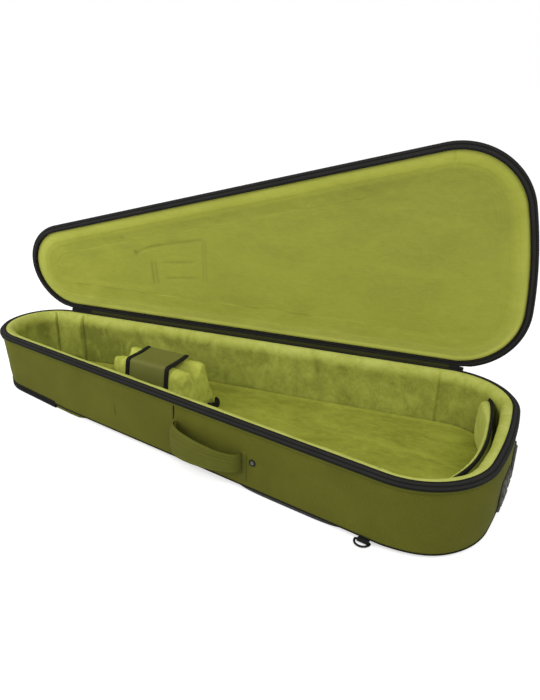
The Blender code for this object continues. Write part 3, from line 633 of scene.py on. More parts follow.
def loft(
    name: str,
    rows: Grid,
    across: Grid | None = None,
    around: float = 0.0,
    tube: bool = False,
    flip: bool = False,
) -> bpy.types.Object:
    """Makes a surface over a grid of points, with cloth coordinates in metres.

    Args:
        name: The object's name.
        rows: Points as rows by columns by 3.
        across: How far along the cloth each column lies, or None to measure it.
        around: The length at which the last column meets the first, or 0 if it doesn't.
        tube: Whether the last row meets the first. Its ends are closed if the columns don't meet.
        flip: Whether the faces point the other way. A closed solid's faces always point out.

    Returns:
        The object.
    """
    m, n = rows.shape[:2]
    if across is None:
        steps = np.linalg.norm(np.diff(rows, axis=1), axis=2).mean(0)
        across = np.concatenate([[0.0], np.cumsum(steps)])
    up = np.concatenate([[0.0], np.cumsum(np.linalg.norm(np.diff(rows, axis=0), axis=2).mean(1))])
    u = np.append(across, around) if around else np.asarray(across)
    v = np.append(up, up[-1] + np.linalg.norm(rows[0] - rows[-1], axis=1).mean()) if tube else up
    r, c = np.meshgrid(np.arange(len(v) - 1), np.arange(len(u) - 1), indexing="ij")
    r, c = r.ravel(), c.ravel()
    r2, c2 = r + 1, c + 1
    corners = [(r, c), (r, c2), (r2, c2), (r2, c)]
    if flip:
        corners = corners[::-1]
    faces = np.stack([(a % m) * n + (b % n) for a, b in corners], axis=1).tolist()
    cloth = np.stack([np.stack([u[b], v[a]], axis=1) for a, b in corners], axis=1).reshape(-1, 2)
    if tube and not around:
        ends = [list(range(0, m * n, n)), list(range(n - 1, m * n, n))]
        faces += ends
        cloth = np.vstack([cloth, np.zeros((2 * m, 2))])
    mesh = bpy.data.meshes.new(name)
    mesh.from_pydata(rows.reshape(-1, 3).tolist(), [], faces)
    mesh.uv_layers.new(name="cloth").data.foreach_set("uv", cloth.astype(np.float32).ravel())
    shaped = bmesh.new()
    shaped.from_mesh(mesh)
    bmesh.ops.remove_doubles(shaped, verts=shaped.verts, dist=0.01 * MM)
    if tube:
        bmesh.ops.recalc_face_normals(shaped, faces=shaped.faces)
    shaped.to_mesh(mesh)
    shaped.free()
    mesh.shade_smooth()
    mesh.set_sharp_from_angle(angle=radians(50))
    return linked(name, mesh)


def tube(name: str, line: Grid, radius: Grid | float, sides: int = 8, closed: bool = False) -> bpy.types.Object:
    """Makes a round cord along a line.

    Args:
        name: The object's name.
        line: The points that it follows.
        radius: Its radius, the same all along or one for each point.
        sides: The number of its sides.
        closed: Whether its end meets its start.

    Returns:
        The object.
    """
    line = np.asarray(line, float)
    ahead = np.roll(line, -1, 0) - np.roll(line, 1, 0) if closed else np.gradient(line, axis=0)
    ahead = unit(ahead)
    mean = unit(np.cross(ahead[0], ahead[len(line) // 2]) + 1e-6 * UP)
    level = UP if np.abs(ahead[:, 2]).mean() < 0.9 else np.array([1.0, 0.0, 0.0])
    side = unit(np.cross(ahead, mean if abs(mean[2]) < 0.5 else level))
    lift = np.cross(side, ahead)
    turns = 2 * pi * np.arange(sides) / sides
    reach = np.broadcast_to(np.asarray(radius, float), (len(line),))[None, :, None]
    rows = line + reach * (np.cos(turns)[:, None, None] * side + np.sin(turns)[:, None, None] * lift)
    length = np.linalg.norm(np.diff(line, axis=0), axis=1).sum() if closed else 0.0
    return loft(name, rows, around=length + np.linalg.norm(line[0] - line[-1]) if closed else 0.0, tube=True)


def joined(name: str, pieces: Sequence[bpy.types.Object]) -> bpy.types.Object:
    """Joins pieces of one finish into one object.

    Args:
        name: The joined object's name.
        pieces: The pieces, which are used up.

    Returns:
        The joined object.
    """
    merged = bmesh.new()
    for piece in pieces:
        merged.from_mesh(piece.data)
        bpy.data.objects.remove(piece)
    mesh = bpy.data.meshes.new(name)
    merged.to_mesh(mesh)
    merged.free()
    return linked(name, mesh)


def stitches(name: str, line: Grid, out: Grid, length: float = 4.2 * MM, pitch: float = 5.6 * MM) -> bpy.types.Object:
    """Makes a row of lockstitches along a line.

    Args:
        name: The object's name.
        line: The points that the row follows, on the cloth.
        out: The way off the cloth, one for all points or one for each.
        length: The length of one stitch.
        pitch: The distance from one stitch to the next.

    Returns:
        One object with every stitch of the row.
    """
    line = np.asarray(line, float)
    out = np.broadcast_to(unit(np.asarray(out, float)), line.shape)
    run = np.concatenate([[0.0], np.cumsum(np.linalg.norm(np.diff(line, axis=0), axis=1))])
    starts = np.arange(0.5 * (pitch - length), run[-1] - length, pitch)
    shares = np.array([0.0, 0.12, 0.5, 0.88, 1.0])
    width = np.array([0.1, 0.42, 0.5, 0.42, 0.1]) * MM
    rise = np.array([-0.3, 0.1, 0.35, 0.1, -0.3]) * MM
    turns = 2 * pi * np.arange(5) / 5
    vertices, faces = [], []
    for start in starts:
        at = start + shares * length
        spot = np.stack([np.interp(at, run, line[:, i]) for i in range(3)], axis=1)
        off = unit(np.stack([np.interp(at, run, out[:, i]) for i in range(3)], axis=1))
        side = unit(np.cross(spot[-1] - spot[0], off))
        ring = np.cos(turns)[None, :, None] * side[:, None] + np.sin(turns)[None, :, None] * off[:, None]
        ring = spot[:, None] + off[:, None] * rise[:, None, None] + ring * width[:, None, None]
        first = len(vertices) * 25
        vertices.append(ring.reshape(-1, 3))
        for i in range(4):
            for j in range(5):
                k = (j + 1) % 5
                low = first + i * 5
                faces.append((low + j, low + k, low + 5 + k, low + 5 + j))
        faces.append([first + j for j in range(5)])
        faces.append([first + 20 + j for j in range(5)])
    return solid(name, np.vstack(vertices), faces)


def swell(
    piece: bpy.types.Object, voxel: float, most: float, held: Callable[[Grid], Grid], pressure: float = 4.0
) -> None:
    """Fills a closed piece as a stuffed pad, by a short cloth simulation.

    Args:
        piece: The piece, whose mesh is replaced.
        voxel: The size of the cloth's mesh.
        most: The furthest that a point may move.
        held: Tells from the points which are sewn down, from 0 to 1.
        pressure: The filling's pressure.
    """
    scene = bpy.context.scene
    remesh = piece.modifiers.new("even mesh", "REMESH")
    remesh.mode = "VOXEL"
    remesh.voxel_size = voxel
    depsgraph = bpy.context.evaluated_depsgraph_get()
    even = bpy.data.meshes.new_from_object(piece.evaluated_get(depsgraph))
    piece.modifiers.clear()
    piece.data = even
    start = places(even)
    pins = piece.vertex_groups.new(name="sewn")
    for i, weight in enumerate(held(start)):
        if weight > 0.01:
            pins.add([i], float(weight), "REPLACE")
    cloth = piece.modifiers.new("filling", "CLOTH")
    cloth.settings.quality = 5
    cloth.settings.use_pressure = True
    cloth.settings.uniform_pressure_force = pressure
    cloth.settings.effector_weights.gravity = 0.0
    cloth.settings.vertex_group_mass = "sewn"
    cloth.settings.tension_stiffness = 25.0
    cloth.settings.bending_stiffness = 0.8
    cloth.collision_settings.use_collision = False
    cloth.point_cache.frame_start = 1
    cloth.point_cache.frame_end = FILLING_FRAMES
    for frame in range(1, FILLING_FRAMES + 1):
        scene.frame_set(frame)
    moved = places(piece.evaluated_get(bpy.context.evaluated_depsgraph_get()).data)
    scene.frame_set(1)
    piece.modifiers.clear()
    piece.vertex_groups.clear()
    shift = moved - start
    reach = np.linalg.norm(shift, axis=1, keepdims=True)
    start = start + shift * np.minimum(1.0, most / np.maximum(reach, 1e-9))
    even.vertices.foreach_set("co", start.ravel())
    even.shade_smooth()
    finer = piece.modifiers.new("finer", "SUBSURF")
    finer.levels = finer.render_levels = 1
    shaped = bpy.data.meshes.new_from_object(piece.evaluated_get(bpy.context.evaluated_depsgraph_get()))
    piece.modifiers.clear()
    piece.data = shaped
    shaped.shade_smooth()


def move_points(piece: bpy.types.Object, shift: Callable[[Grid], Grid]) -> None:
    """Moves each vertex of a piece.

    Args:
        piece: The piece.
        shift: Gives the shift of each point from the points.
    """
    spots = places(piece.data)
    piece.data.vertices.foreach_set("co", (spots + shift(spots)).ravel())
    piece.data.update()


def paint_darkening(piece: bpy.types.Object, weight: Callable[[Grid], Grid]) -> None:
    """Sets how much darker a piece's velour is painted at each vertex.

    Args:
        piece: The piece.
        weight: Gives the darkening of each point from the points.
    """
    layer = piece.data.attributes.new(DARKENING, "FLOAT", "POINT")
    layer.data.foreach_set("value", weight(places(piece.data)).astype(np.float32))


def dress(
    piece: bpy.types.Object,
    finish: Finish,
    body: Body | tuple[Body, Body, Grid, Grid],
    slot: str,
    *nodes: str,
    fill: float | None = None,
) -> None:
    """Gives a piece its finish and its body, hides the CAD nodes that it replaces, and reports it.

    Args:
        piece: The piece.
        finish: Its finish.
        body: The body that it rides on, or two bodies and two points, with which it is left on no body.
        slot: The record's material slot. Not used.
        *nodes: The CAD nodes that it replaces.
        fill: How full a padded piece is, or None if it isn't padded. Not used.
    """
    piece.data.materials.clear()
    piece.data.materials.append(finish.material())
    if isinstance(body, tuple):
        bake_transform(piece)
    else:
        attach(piece, body.value)
    if nodes:
        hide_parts(*nodes)
    LOG.info("%s: %d vertices, %s", piece.name, len(piece.data.vertices), finish.name)


# ---- The bag's plan and the places on it


@dataclass(frozen=True)
class Stretch:
    """One arc or straight line of the wall's plan."""

    length: float
    centre: tuple[float, float]
    radius: float
    angle: float
    straight: bool = False

    def at(self, run: Grid) -> tuple[Grid, Grid]:
        """Places and outward directions along the stretch.

        Args:
            run: Distances from its start.

        Returns:
            The places and the unit vectors out of the bag, one row each.
        """
        turn = np.full(len(run), self.angle) if self.straight else self.angle + run / self.radius
        out = np.stack([np.cos(turn), np.sin(turn)], axis=1)
        spot = np.asarray(self.centre) + self.radius * out
        if self.straight:
            spot = spot + np.stack([-out[:, 1], out[:, 0]], axis=1) * run[:, None]
        return spot, out


@dataclass
class Wall:
    """The plan of the canvas wall: a round head, flaring sides and a broad tail."""

    length: float = 1.12
    head_x: float = -0.80
    head_r: float = 101.6 * MM
    flare: float = radians(7.756)
    corner_r: float = 132.6 * MM
    tail_r: float = 0.921
    head_steps: int = 14  # the steps round the head and round a corner, in which the zip's ends are counted
    corner_steps: int = 8
    stretches: list[Stretch] = field(init=False)
    starts: list[float] = field(init=False)
    total: float = field(init=False)

    def __post_init__(self) -> None:
        """Works out the stretches, which meet smoothly, from the hinge side's head end round."""
        self.head_c = (self.head_x + self.head_r, 0.0)
        self.tail_c = (self.head_x + self.length - self.tail_r, 0.0)
        along = np.array([cos(self.flare), sin(self.flare)])
        out = np.array([-sin(self.flare), cos(self.flare)])
        start = np.array(self.head_c) + out * (self.head_r - self.corner_r)
        away = start - np.array(self.tail_c)
        half = away @ along
        run = -half + sqrt(half**2 - away @ away + (self.tail_r - self.corner_r) ** 2)
        self.corner_c = tuple(start + along * run)
        back = 0.5 * pi + self.flare
        front = 1.5 * pi - self.flare
        self.tail_angle = atan2(self.corner_c[1], self.corner_c[0] - self.tail_c[0])
        corner_l = self.corner_r * (back - self.tail_angle)
        mirrored = (self.corner_c[0], -self.corner_c[1])
        self.stretches = [
            Stretch(self.head_r * (front - back), self.head_c, self.head_r, back),
            Stretch(run, self.head_c, self.head_r, front, straight=True),
            Stretch(corner_l, mirrored, self.corner_r, front),
            Stretch(2 * self.tail_r * self.tail_angle, self.tail_c, self.tail_r, -self.tail_angle),
            Stretch(corner_l, self.corner_c, self.corner_r, self.tail_angle),
            Stretch(run, self.corner_c, self.corner_r, back, straight=True),
        ]
        ends = np.cumsum([stretch.length for stretch in self.stretches])
        self.starts = [0.0, *ends[:-1]]
        self.total = float(ends[-1])
        self.head_step = self.stretches[0].length / self.head_steps
        self.corner_step = self.stretches[4].length / self.corner_steps

    def at(self, runs: Grid) -> tuple[Grid, Grid]:
        """Places and outward directions on the wall's face.

        Args:
            runs: Distances along the wall from the head end of the hinge side.

        Returns:
            The places and the unit vectors out of the bag, one row each.
        """
        runs = np.asarray(runs, float)
        spots, outs = np.zeros((len(runs), 2)), np.zeros((len(runs), 2))
        for i, (start, stretch) in enumerate(zip(self.starts, self.stretches)):
            last = i == len(self.stretches) - 1
            here = (runs >= start) & ((runs < start + stretch.length) | last)
            spots[here], outs[here] = stretch.at(runs[here] - start)
        return spots, outs

    def front(self, from_head: float) -> float:
        """The run at a distance from the head tip, on the handle side.

        Args:
            from_head: The distance along the bag from the head tip, in metres.

        Returns:
            The run along the wall, in metres.
        """
        first = self.head_c[0] - self.head_r * sin(self.flare)
        away = self.head_x + from_head - first
        if away < 0:
            return self.starts[1] - self.back(from_head)
        return self.starts[1] + away / cos(self.flare)

    def back(self, from_head: float) -> float:
        """The run at a distance from the head tip, on the hinge side.

        Args:
            from_head: The distance along the bag from the head tip, in metres.

        Returns:
            The run along the wall, in metres.
        """
        first = self.head_c[0] - self.head_r * sin(self.flare)
        away = self.head_x + from_head - first
        if away < 0:
            return self.head_r * (acos(from_head / self.head_r - 1.0) - 0.5 * pi - self.flare)
        return self.total - away / cos(self.flare)

    def round_head(self, from_head: float, back_step: float, front_step: float) -> Grid:
        """Runs round the head end, from the hinge side to the handle side.

        Args:
            from_head: How far from the head tip they begin and end.
            back_step: The step up to the first run of the wall.
            front_step: The step from there on.

        Returns:
            The runs.
        """
        start, front = self.back(from_head) - self.total, self.front(from_head)
        return np.concatenate([np.arange(start, 0, back_step) + self.total, np.arange(0, front, front_step), [front]])

    def columns(self, step: float, marks: Sequence[float] = (), start: float = 0.0, end: float = 0.0) -> Grid:
        """Even steps along the wall, closer together about some marks.

        Args:
            step: The distance from one column to the next.
            marks: Runs about which the columns are 1 mm apart.
            start: The first run.
            end: The last run, or 0 for all round, without the place where it meets itself.

        Returns:
            The runs.
        """
        stop = end or self.total
        runs = [np.linspace(start, stop, int((stop - start) / step) + 1)]
        for mark in marks:
            close = mark + np.arange(-7, 8) * MM
            runs.append(close[(close > start) & (close < stop)])
        found = np.unique(np.concatenate(runs))
        found = found[np.concatenate([[True], np.diff(found) > 0.3 * MM])]
        return found if end else found[found < self.total - 0.5 * step]


@dataclass
class Plan:
    """Places on both halves of the bag, in the CAD's frame."""

    wall: Wall = field(default_factory=Wall)
    pad_t: float = 9.0 * MM
    base_h: float = 125.5 * MM
    lean: float = 13.0 * MM
    lean_reach: float = 0.25
    hinge_out: float = 4.3 * MM
    hinge_drop: float = 4.0 * MM
    lid_open: float = radians(83.1)
    gap: float = 0.3 * MM

    def __post_init__(self) -> None:
        """Works out the lid's turn about the hinge."""
        self.rim_z = self.pad_t + self.base_h
        self.along_front = np.array([cos(self.wall.flare), -sin(self.wall.flare), 0.0])
        self.along_back = np.array([cos(self.wall.flare), sin(self.wall.flare), 0.0])
        self.out_front = np.array([-sin(self.wall.flare), -cos(self.wall.flare), 0.0])
        self.out_back = np.array([-sin(self.wall.flare), cos(self.wall.flare), 0.0])
        spot, out = self.wall.at([self.wall.back(self.wall.length / 2)])
        spot = spot[0] + out[0] * self.hinge_out
        self.pivot = np.array([*spot, self.rim_z - self.hinge_drop])
        self.turn = np.array(Matrix.Rotation(self.lid_open, 3, Vector(-self.along_back)))

    def opened(self, points: Grid) -> Grid:
        """Turns points of the closed lid to where it stands open."""
        return (points - self.pivot) @ self.turn.T + self.pivot

    def base(self, runs: Grid, inset: Grid, z: Grid) -> Grid:
        """Points of the base.

        Args:
            runs: The columns' runs.
            inset: How far inside the wall's face, as rows by columns or rows by 1.
            z: Heights over the canvas underside, alike.

        Returns:
            Points as rows by columns by 3.
        """
        spot, out = self.wall.at(runs)
        inset, z = np.broadcast_arrays(inset, z, np.zeros((1, len(runs))))[:2]
        share = np.maximum(0.0, 1.0 - (spot[:, 0] - self.wall.head_x) / self.lean_reach)
        inward = inset + self.lean * share * (1.0 - np.maximum(z, 0.0) / self.base_h)
        return raised(spot - out * inward[..., None], self.pad_t + z)

    def lid(self, runs: Grid, inset: Grid, rise: Grid) -> Grid:
        """Points of the open lid, from insets and rises over the rim plane of the closed lid."""
        spot, out = self.wall.at(runs)
        inset, rise = np.broadcast_arrays(inset, rise, np.zeros((1, len(runs))))[:2]
        return self.opened(raised(spot - out * inset[..., None], self.rim_z + rise))

    def rim(self, shell: Shell, runs: Grid, inset: Grid, drop: Grid) -> Grid:
        """Points of a rim, measured away from the plane where the halves meet."""
        if shell is Shell.BASE:
            return self.base(runs, inset, self.base_h - np.asarray(drop))
        return self.lid(runs, inset, drop)

    def on_front(self, from_head: float, along: Grid, out: Grid, z: Grid) -> Grid:
        """Points off the front wall, measured along it from a place on it.

        Args:
            from_head: The place's distance from the head tip.
            along: How far along the wall from there.
            out: How far off the wall.
            z: How high above the foot.

        Returns:
            The points, in space.
        """
        spot, _ = self.wall.at([self.wall.front(from_head)])
        along, out, z = np.broadcast_arrays(along, out, z)
        flat = np.array([*spot[0], self.pad_t])
        return flat + along[..., None] * self.along_front + out[..., None] * self.out_front + z[..., None] * UP

    def pushed(self, profile: Grid, push: Grid) -> tuple[Grid, Grid]:
        """Pushes a profile along its own normals.

        Args:
            profile: Insets and heights, one row each.
            push: Distances, as rows by columns.

        Returns:
            Insets and heights as rows by columns.
        """
        ahead = unit(np.gradient(profile, axis=0))
        inset = profile[:, :1] - ahead[:, 1:] * push
        height = profile[:, 1:] + ahead[:, :1] * push
        return inset, height

    def spine(self, edge: Grid, rows: int, first: float = 0.0) -> Grid:
        """Carries an edge's points in to the bag's middle line.

        Args:
            edge: The edge's plan points, one for each column.
            rows: The number of rows.
            first: How far in the first row already is, from 0 to 1.

        Returns:
            Plan points as rows by columns by 2.
        """
        middle = np.stack([np.clip(edge[:, 0], self.wall.head_c[0], 0.16), np.zeros(len(edge))], axis=1)
        share = np.linspace(first, 1.0, rows)[:, None, None]
        return edge[None, :, :2] * (1 - share) + middle * share


# ---- The base's shell


@dataclass
class BaseShell:
    """The base's canvas, velour lining and floor pad."""

    plan: Plan
    canvas_top: float = 112.2 * MM
    sag: float = 4.5 * MM  # how far the tail end's foot hangs lower
    floor_z: float = 10.5 * MM
    panel_seam: float = 0.5535  # from the head tip, where the handle is sewn in
    tack: float = 0.401  # from the head tip, a short bar tack on the front
    pleat: tuple[float, float] = (0.05, 0.128)  # from the head tip, where the hinge side's lining is tucked
    tail_seam: float = 0.951  # from the head tip, where the tail's lining panel begins

    def canvas(self) -> None:
        """The outer canvas: a flat underside, a rounded foot with its seam, and puffed walls."""
        plan, wall = self.plan, self.plan.wall
        seams = [wall.front(self.panel_seam), wall.front(self.tack), wall.back(0.60)]
        runs = wall.columns(5 * MM, seams)
        edge = [(12.0, 0.0), (6.0, 0.05), (2.6, 0.3), (1.2, 1.0), (1.5, 1.9), (0.9, 2.6), (0.15, 3.6), (0.0, 5.4)]
        foot = np.array(edge) * MM
        heights = np.concatenate([np.arange(8.0, 22.0, 2.8) * MM, np.arange(24, 110, 5.5) * MM])
        walls = np.stack([np.zeros(len(heights)), heights], axis=1)
        lip = np.array([(0.0, -1.5), (0.8, 0.0), (3.0, 0.2)]) * MM + [0.0, self.canvas_top]
        profile = np.vstack([foot, walls, lip])
        inset, z = spread(profile, runs)
        space = plan.base(runs, inset, z)
        rise = ease(z, 5 * MM, 35 * MM) * (1 - ease(z, 85 * MM, self.canvas_top))
        push = 0.9 * MM * rise
        push = push + (Ripples(150 * MM, 0.9 * MM, 3).at(space) + Ripples(45 * MM, 0.25 * MM, 4).at(space)) * rise
        away = runs - seams[0]
        push = push - 1.5 * MM * hump(away, 1.3 * MM)
        push = push + 0.9 * MM * hump(away + 4 * MM, 4 * MM) * ease(z, 3 * MM, 12 * MM)
        crease = hump(away - 0.35 * (95 * MM - z), 3.0 * MM) * hump(z - 92 * MM, 16 * MM)
        push = push - 1.2 * MM * crease
        tack = hump(runs - seams[1], 1.0 * MM) * ease(z, 37 * MM, 41 * MM) * (1 - ease(z, 60 * MM, 64 * MM))
        push = push - 1.1 * MM * tack
        back_seam = hump(runs - seams[2], 1.3 * MM)
        push = push - 1.0 * MM * back_seam * ease(z, 3 * MM, 12 * MM)
        push = push + 4.0 * MM * rise * ease(space[..., 0], 0.27, 0.31)
        tucked = hump(runs - wall.front(0.717), 9 * MM) * hump(z - 62 * MM, 26 * MM)
        push = push - 0.7 * MM * tucked
        inset, z = plan.pushed(profile, push)
        sag = self.sag * ease(space[0, :, 0], 0.185, 0.27)
        rows = plan.base(runs, inset, z - sag * (1 - ease(z, 0.0, 55 * MM)))
        under = plan.spine(rows[0, :, :2], 9)[1:][::-1]
        flat = ease(np.linspace(1, 0, 8), 0, 0.4)[:, None] * sag - sag
        piece = loft("base_canvas", np.concatenate([raised(under, plan.pad_t + flat), rows]), runs, around=wall.total)
        dress(piece, CANVAS, Body.BASE, "olive_canvas", "base_cover", "base_board", "base_wall_foam")
        self.panel_stitching(seams[0])
        self.dark_lines(seams[0], seams[1])

    def panel_stitching(self, run: float) -> None:
        """The topstitching beside the panel seam."""
        heights = np.linspace(20 * MM, 108 * MM, 30)[:, None]
        line = self.plan.base([run - 5.5 * MM], -1.3 * MM, heights)[:, 0]
        dress(stitches("canvas_topstitching", line, self.plan.out_front), OLIVE_THREAD, Body.BASE, "olive_canvas")

    def dark_lines(self, seam: float, tack: float) -> None:
        """The dark edge cord along the foot, the panel seam's cord and the bar tack.

        Args:
            seam: The panel seam's run.
            tack: The bar tack's run.
        """
        plan = self.plan
        runs = plan.wall.columns(6 * MM)
        spot, _ = plan.wall.at(runs)
        foot = plan.base(runs, 0.5 * MM, 1.0 * MM - self.sag * ease(spot[:, 0], 0.185, 0.27))[0]
        pieces = [tube("cord", foot, 1.1 * MM, 6, closed=True)]
        for run, low, high, count, out, radius in ((seam, 7, 111, 24, 0.2, 0.9), (tack, 39, 62, 8, 1.1, 0.7)):
            heights = np.linspace(low * MM, high * MM, count)[:, None]
            pieces.append(tube("cord", plan.base([run], -out * MM, heights)[:, 0], radius * MM, 6))
        dress(joined("canvas_edge_cords", pieces), BLACK_THREAD, Body.BASE, "olive_canvas")

    def lining(self) -> None:
        """The padded wall's velour, with its rolled top, sewn seams and soft folds."""
        plan, wall, top = self.plan, self.plan.wall, self.plan.base_h
        pleat = (wall.back(self.pleat[0]), wall.back(self.pleat[1]) - wall.total)
        tail = (wall.back(self.tail_seam) - wall.total, wall.front(self.tail_seam))
        front = wall.front(self.pleat[0])
        seams = [(pleat[0], 4.2), (pleat[1], 4.2), (tail[0], 2.6), (tail[1], 2.2), (front, 3.0)]
        runs = wall.columns(5 * MM, [seam % wall.total for seam, _ in seams])
        knots = [(8.7, 8.0), (8.6, 2.6), (9.8, 1.5), (14.6, 1.2), (19.6, 2.9), (24.0, 6.6), (27.4, 12.4), (28.4, 20.0)]
        knots += [(27.3, 30.0), (25.8, 42.0), (25.0, 60.0), (25.0, 90.0), (25.0, 112.0), (24.2, 117.5)]
        profile = smooth_line([(i * MM, top - d * MM) for i, d in knots], 3.2 * MM)
        inset, z = spread(profile, runs)
        space = plan.base(runs, inset, z)
        drop = top - z
        inner = ease(inset, 14 * MM, 24 * MM)
        low = ease(drop, 10 * MM, 34 * MM) * (1 - ease(drop, 100 * MM, 116 * MM))
        push = inner * (Ripples(120 * MM, 0.8 * MM, 11).at(space) + Ripples(36 * MM, 0.25 * MM, 12).at(space))
        away = (runs + wall.total / 2) % wall.total - wall.total / 2
        for seam, depth in seams:
            beside = (runs - seam + wall.total / 2) % wall.total - wall.total / 2
            drawn = hump(beside, 2.6 * MM) - 0.3 * hump(np.abs(beside) - 6 * MM, 4 * MM)
            push = push - depth * MM * drawn * inner
        puffed = ease(away, pleat[1] + 2 * MM, pleat[1] + 9 * MM)
        puffed = puffed * (1 - ease(away, pleat[0] - 12 * MM, pleat[0] - 2 * MM))
        push = push + (4.0 * MM * puffed + 2.6 * MM * hump(away - pleat[1] - 9 * MM, 5 * MM)) * inner * low
        tip = away - wall.starts[1] / 2
        slant = tip + (drop - 60 * MM) * 0.16
        folds = np.sin(slant / (8.5 * MM)) + 0.7 * np.sin(slant / (5.2 * MM) + 1.0)
        push = push + 2.4 * MM * folds * hump(tip, 62 * MM) * inner * low
        inset, z = plan.pushed(profile, push)
        piece = loft("wall_velour", plan.base(runs, inset, z), runs, around=wall.total)

        def lies(at: Grid) -> Grid:
            """How much darker the velour is painted below the roll: on the hinge side's head end, and past the tail's
            seam.

            Args:
                at: Points in space.

            Returns:
                Shares from 0 to 1, one for each point.
            """
            x, far = at[:, 0] - wall.head_x, ease(at[:, 1], 0.0, 0.05)
            deep = 1 - ease(at[:, 2], plan.rim_z - 34 * MM, plan.rim_z - 14 * MM)
            dark = 0.24 * ease(x, 0.125, 0.135) * (1 - ease(x, 0.19, 0.34))
            dark = dark + 0.26 * (1 - ease(x, 0.045, 0.055)) - 0.12 * hump(x - 0.09, 0.03)
            return (dark * far + 0.08 * ease(x, self.tail_seam - 0.002, self.tail_seam + 0.004)) * deep

        paint_darkening(piece, lies)
        dress(piece, WALL_PLUSH, Body.BASE, "lime_plush", "base_lining", fill=0.75)

    def floor(self) -> None:
        """The floor pad, with a raised sewn edge and a softly uneven top."""
        plan, wall = self.plan, self.plan.wall
        runs = wall.columns(6 * MM)
        top = self.floor_z
        edge = [(25.6, -4.0), (25.7, 0.6), (26.8, 2.2), (29.0, 2.8), (31.5, 2.2), (34.0, 0.8), (37.0, -0.25)]
        profile = smooth_line([(i * MM, top + z * MM) for i, z in edge], 1.2 * MM)
        rows = plan.base(runs, profile[:, :1], profile[:, 1:])
        flat = plan.spine(rows[-1, :, :2], 26)[1:]
        points = raised(flat, plan.pad_t + top - 0.25 * MM)
        uneven = Ripples(210 * MM, 0.9 * MM, 21).at(points) + Ripples(60 * MM, 0.3 * MM, 22).at(points)
        points[..., 2] -= np.abs(uneven) * ease(np.linspace(0, 1, 25), 0.0, 0.15)[:, None]
        piece = loft("floor_velour", np.concatenate([rows, points]), runs, around=wall.total)
        dress(piece, FLOOR_PLUSH, Body.BASE, "lime_plush", "base_floor", fill=0.5)


# ---- Both rims


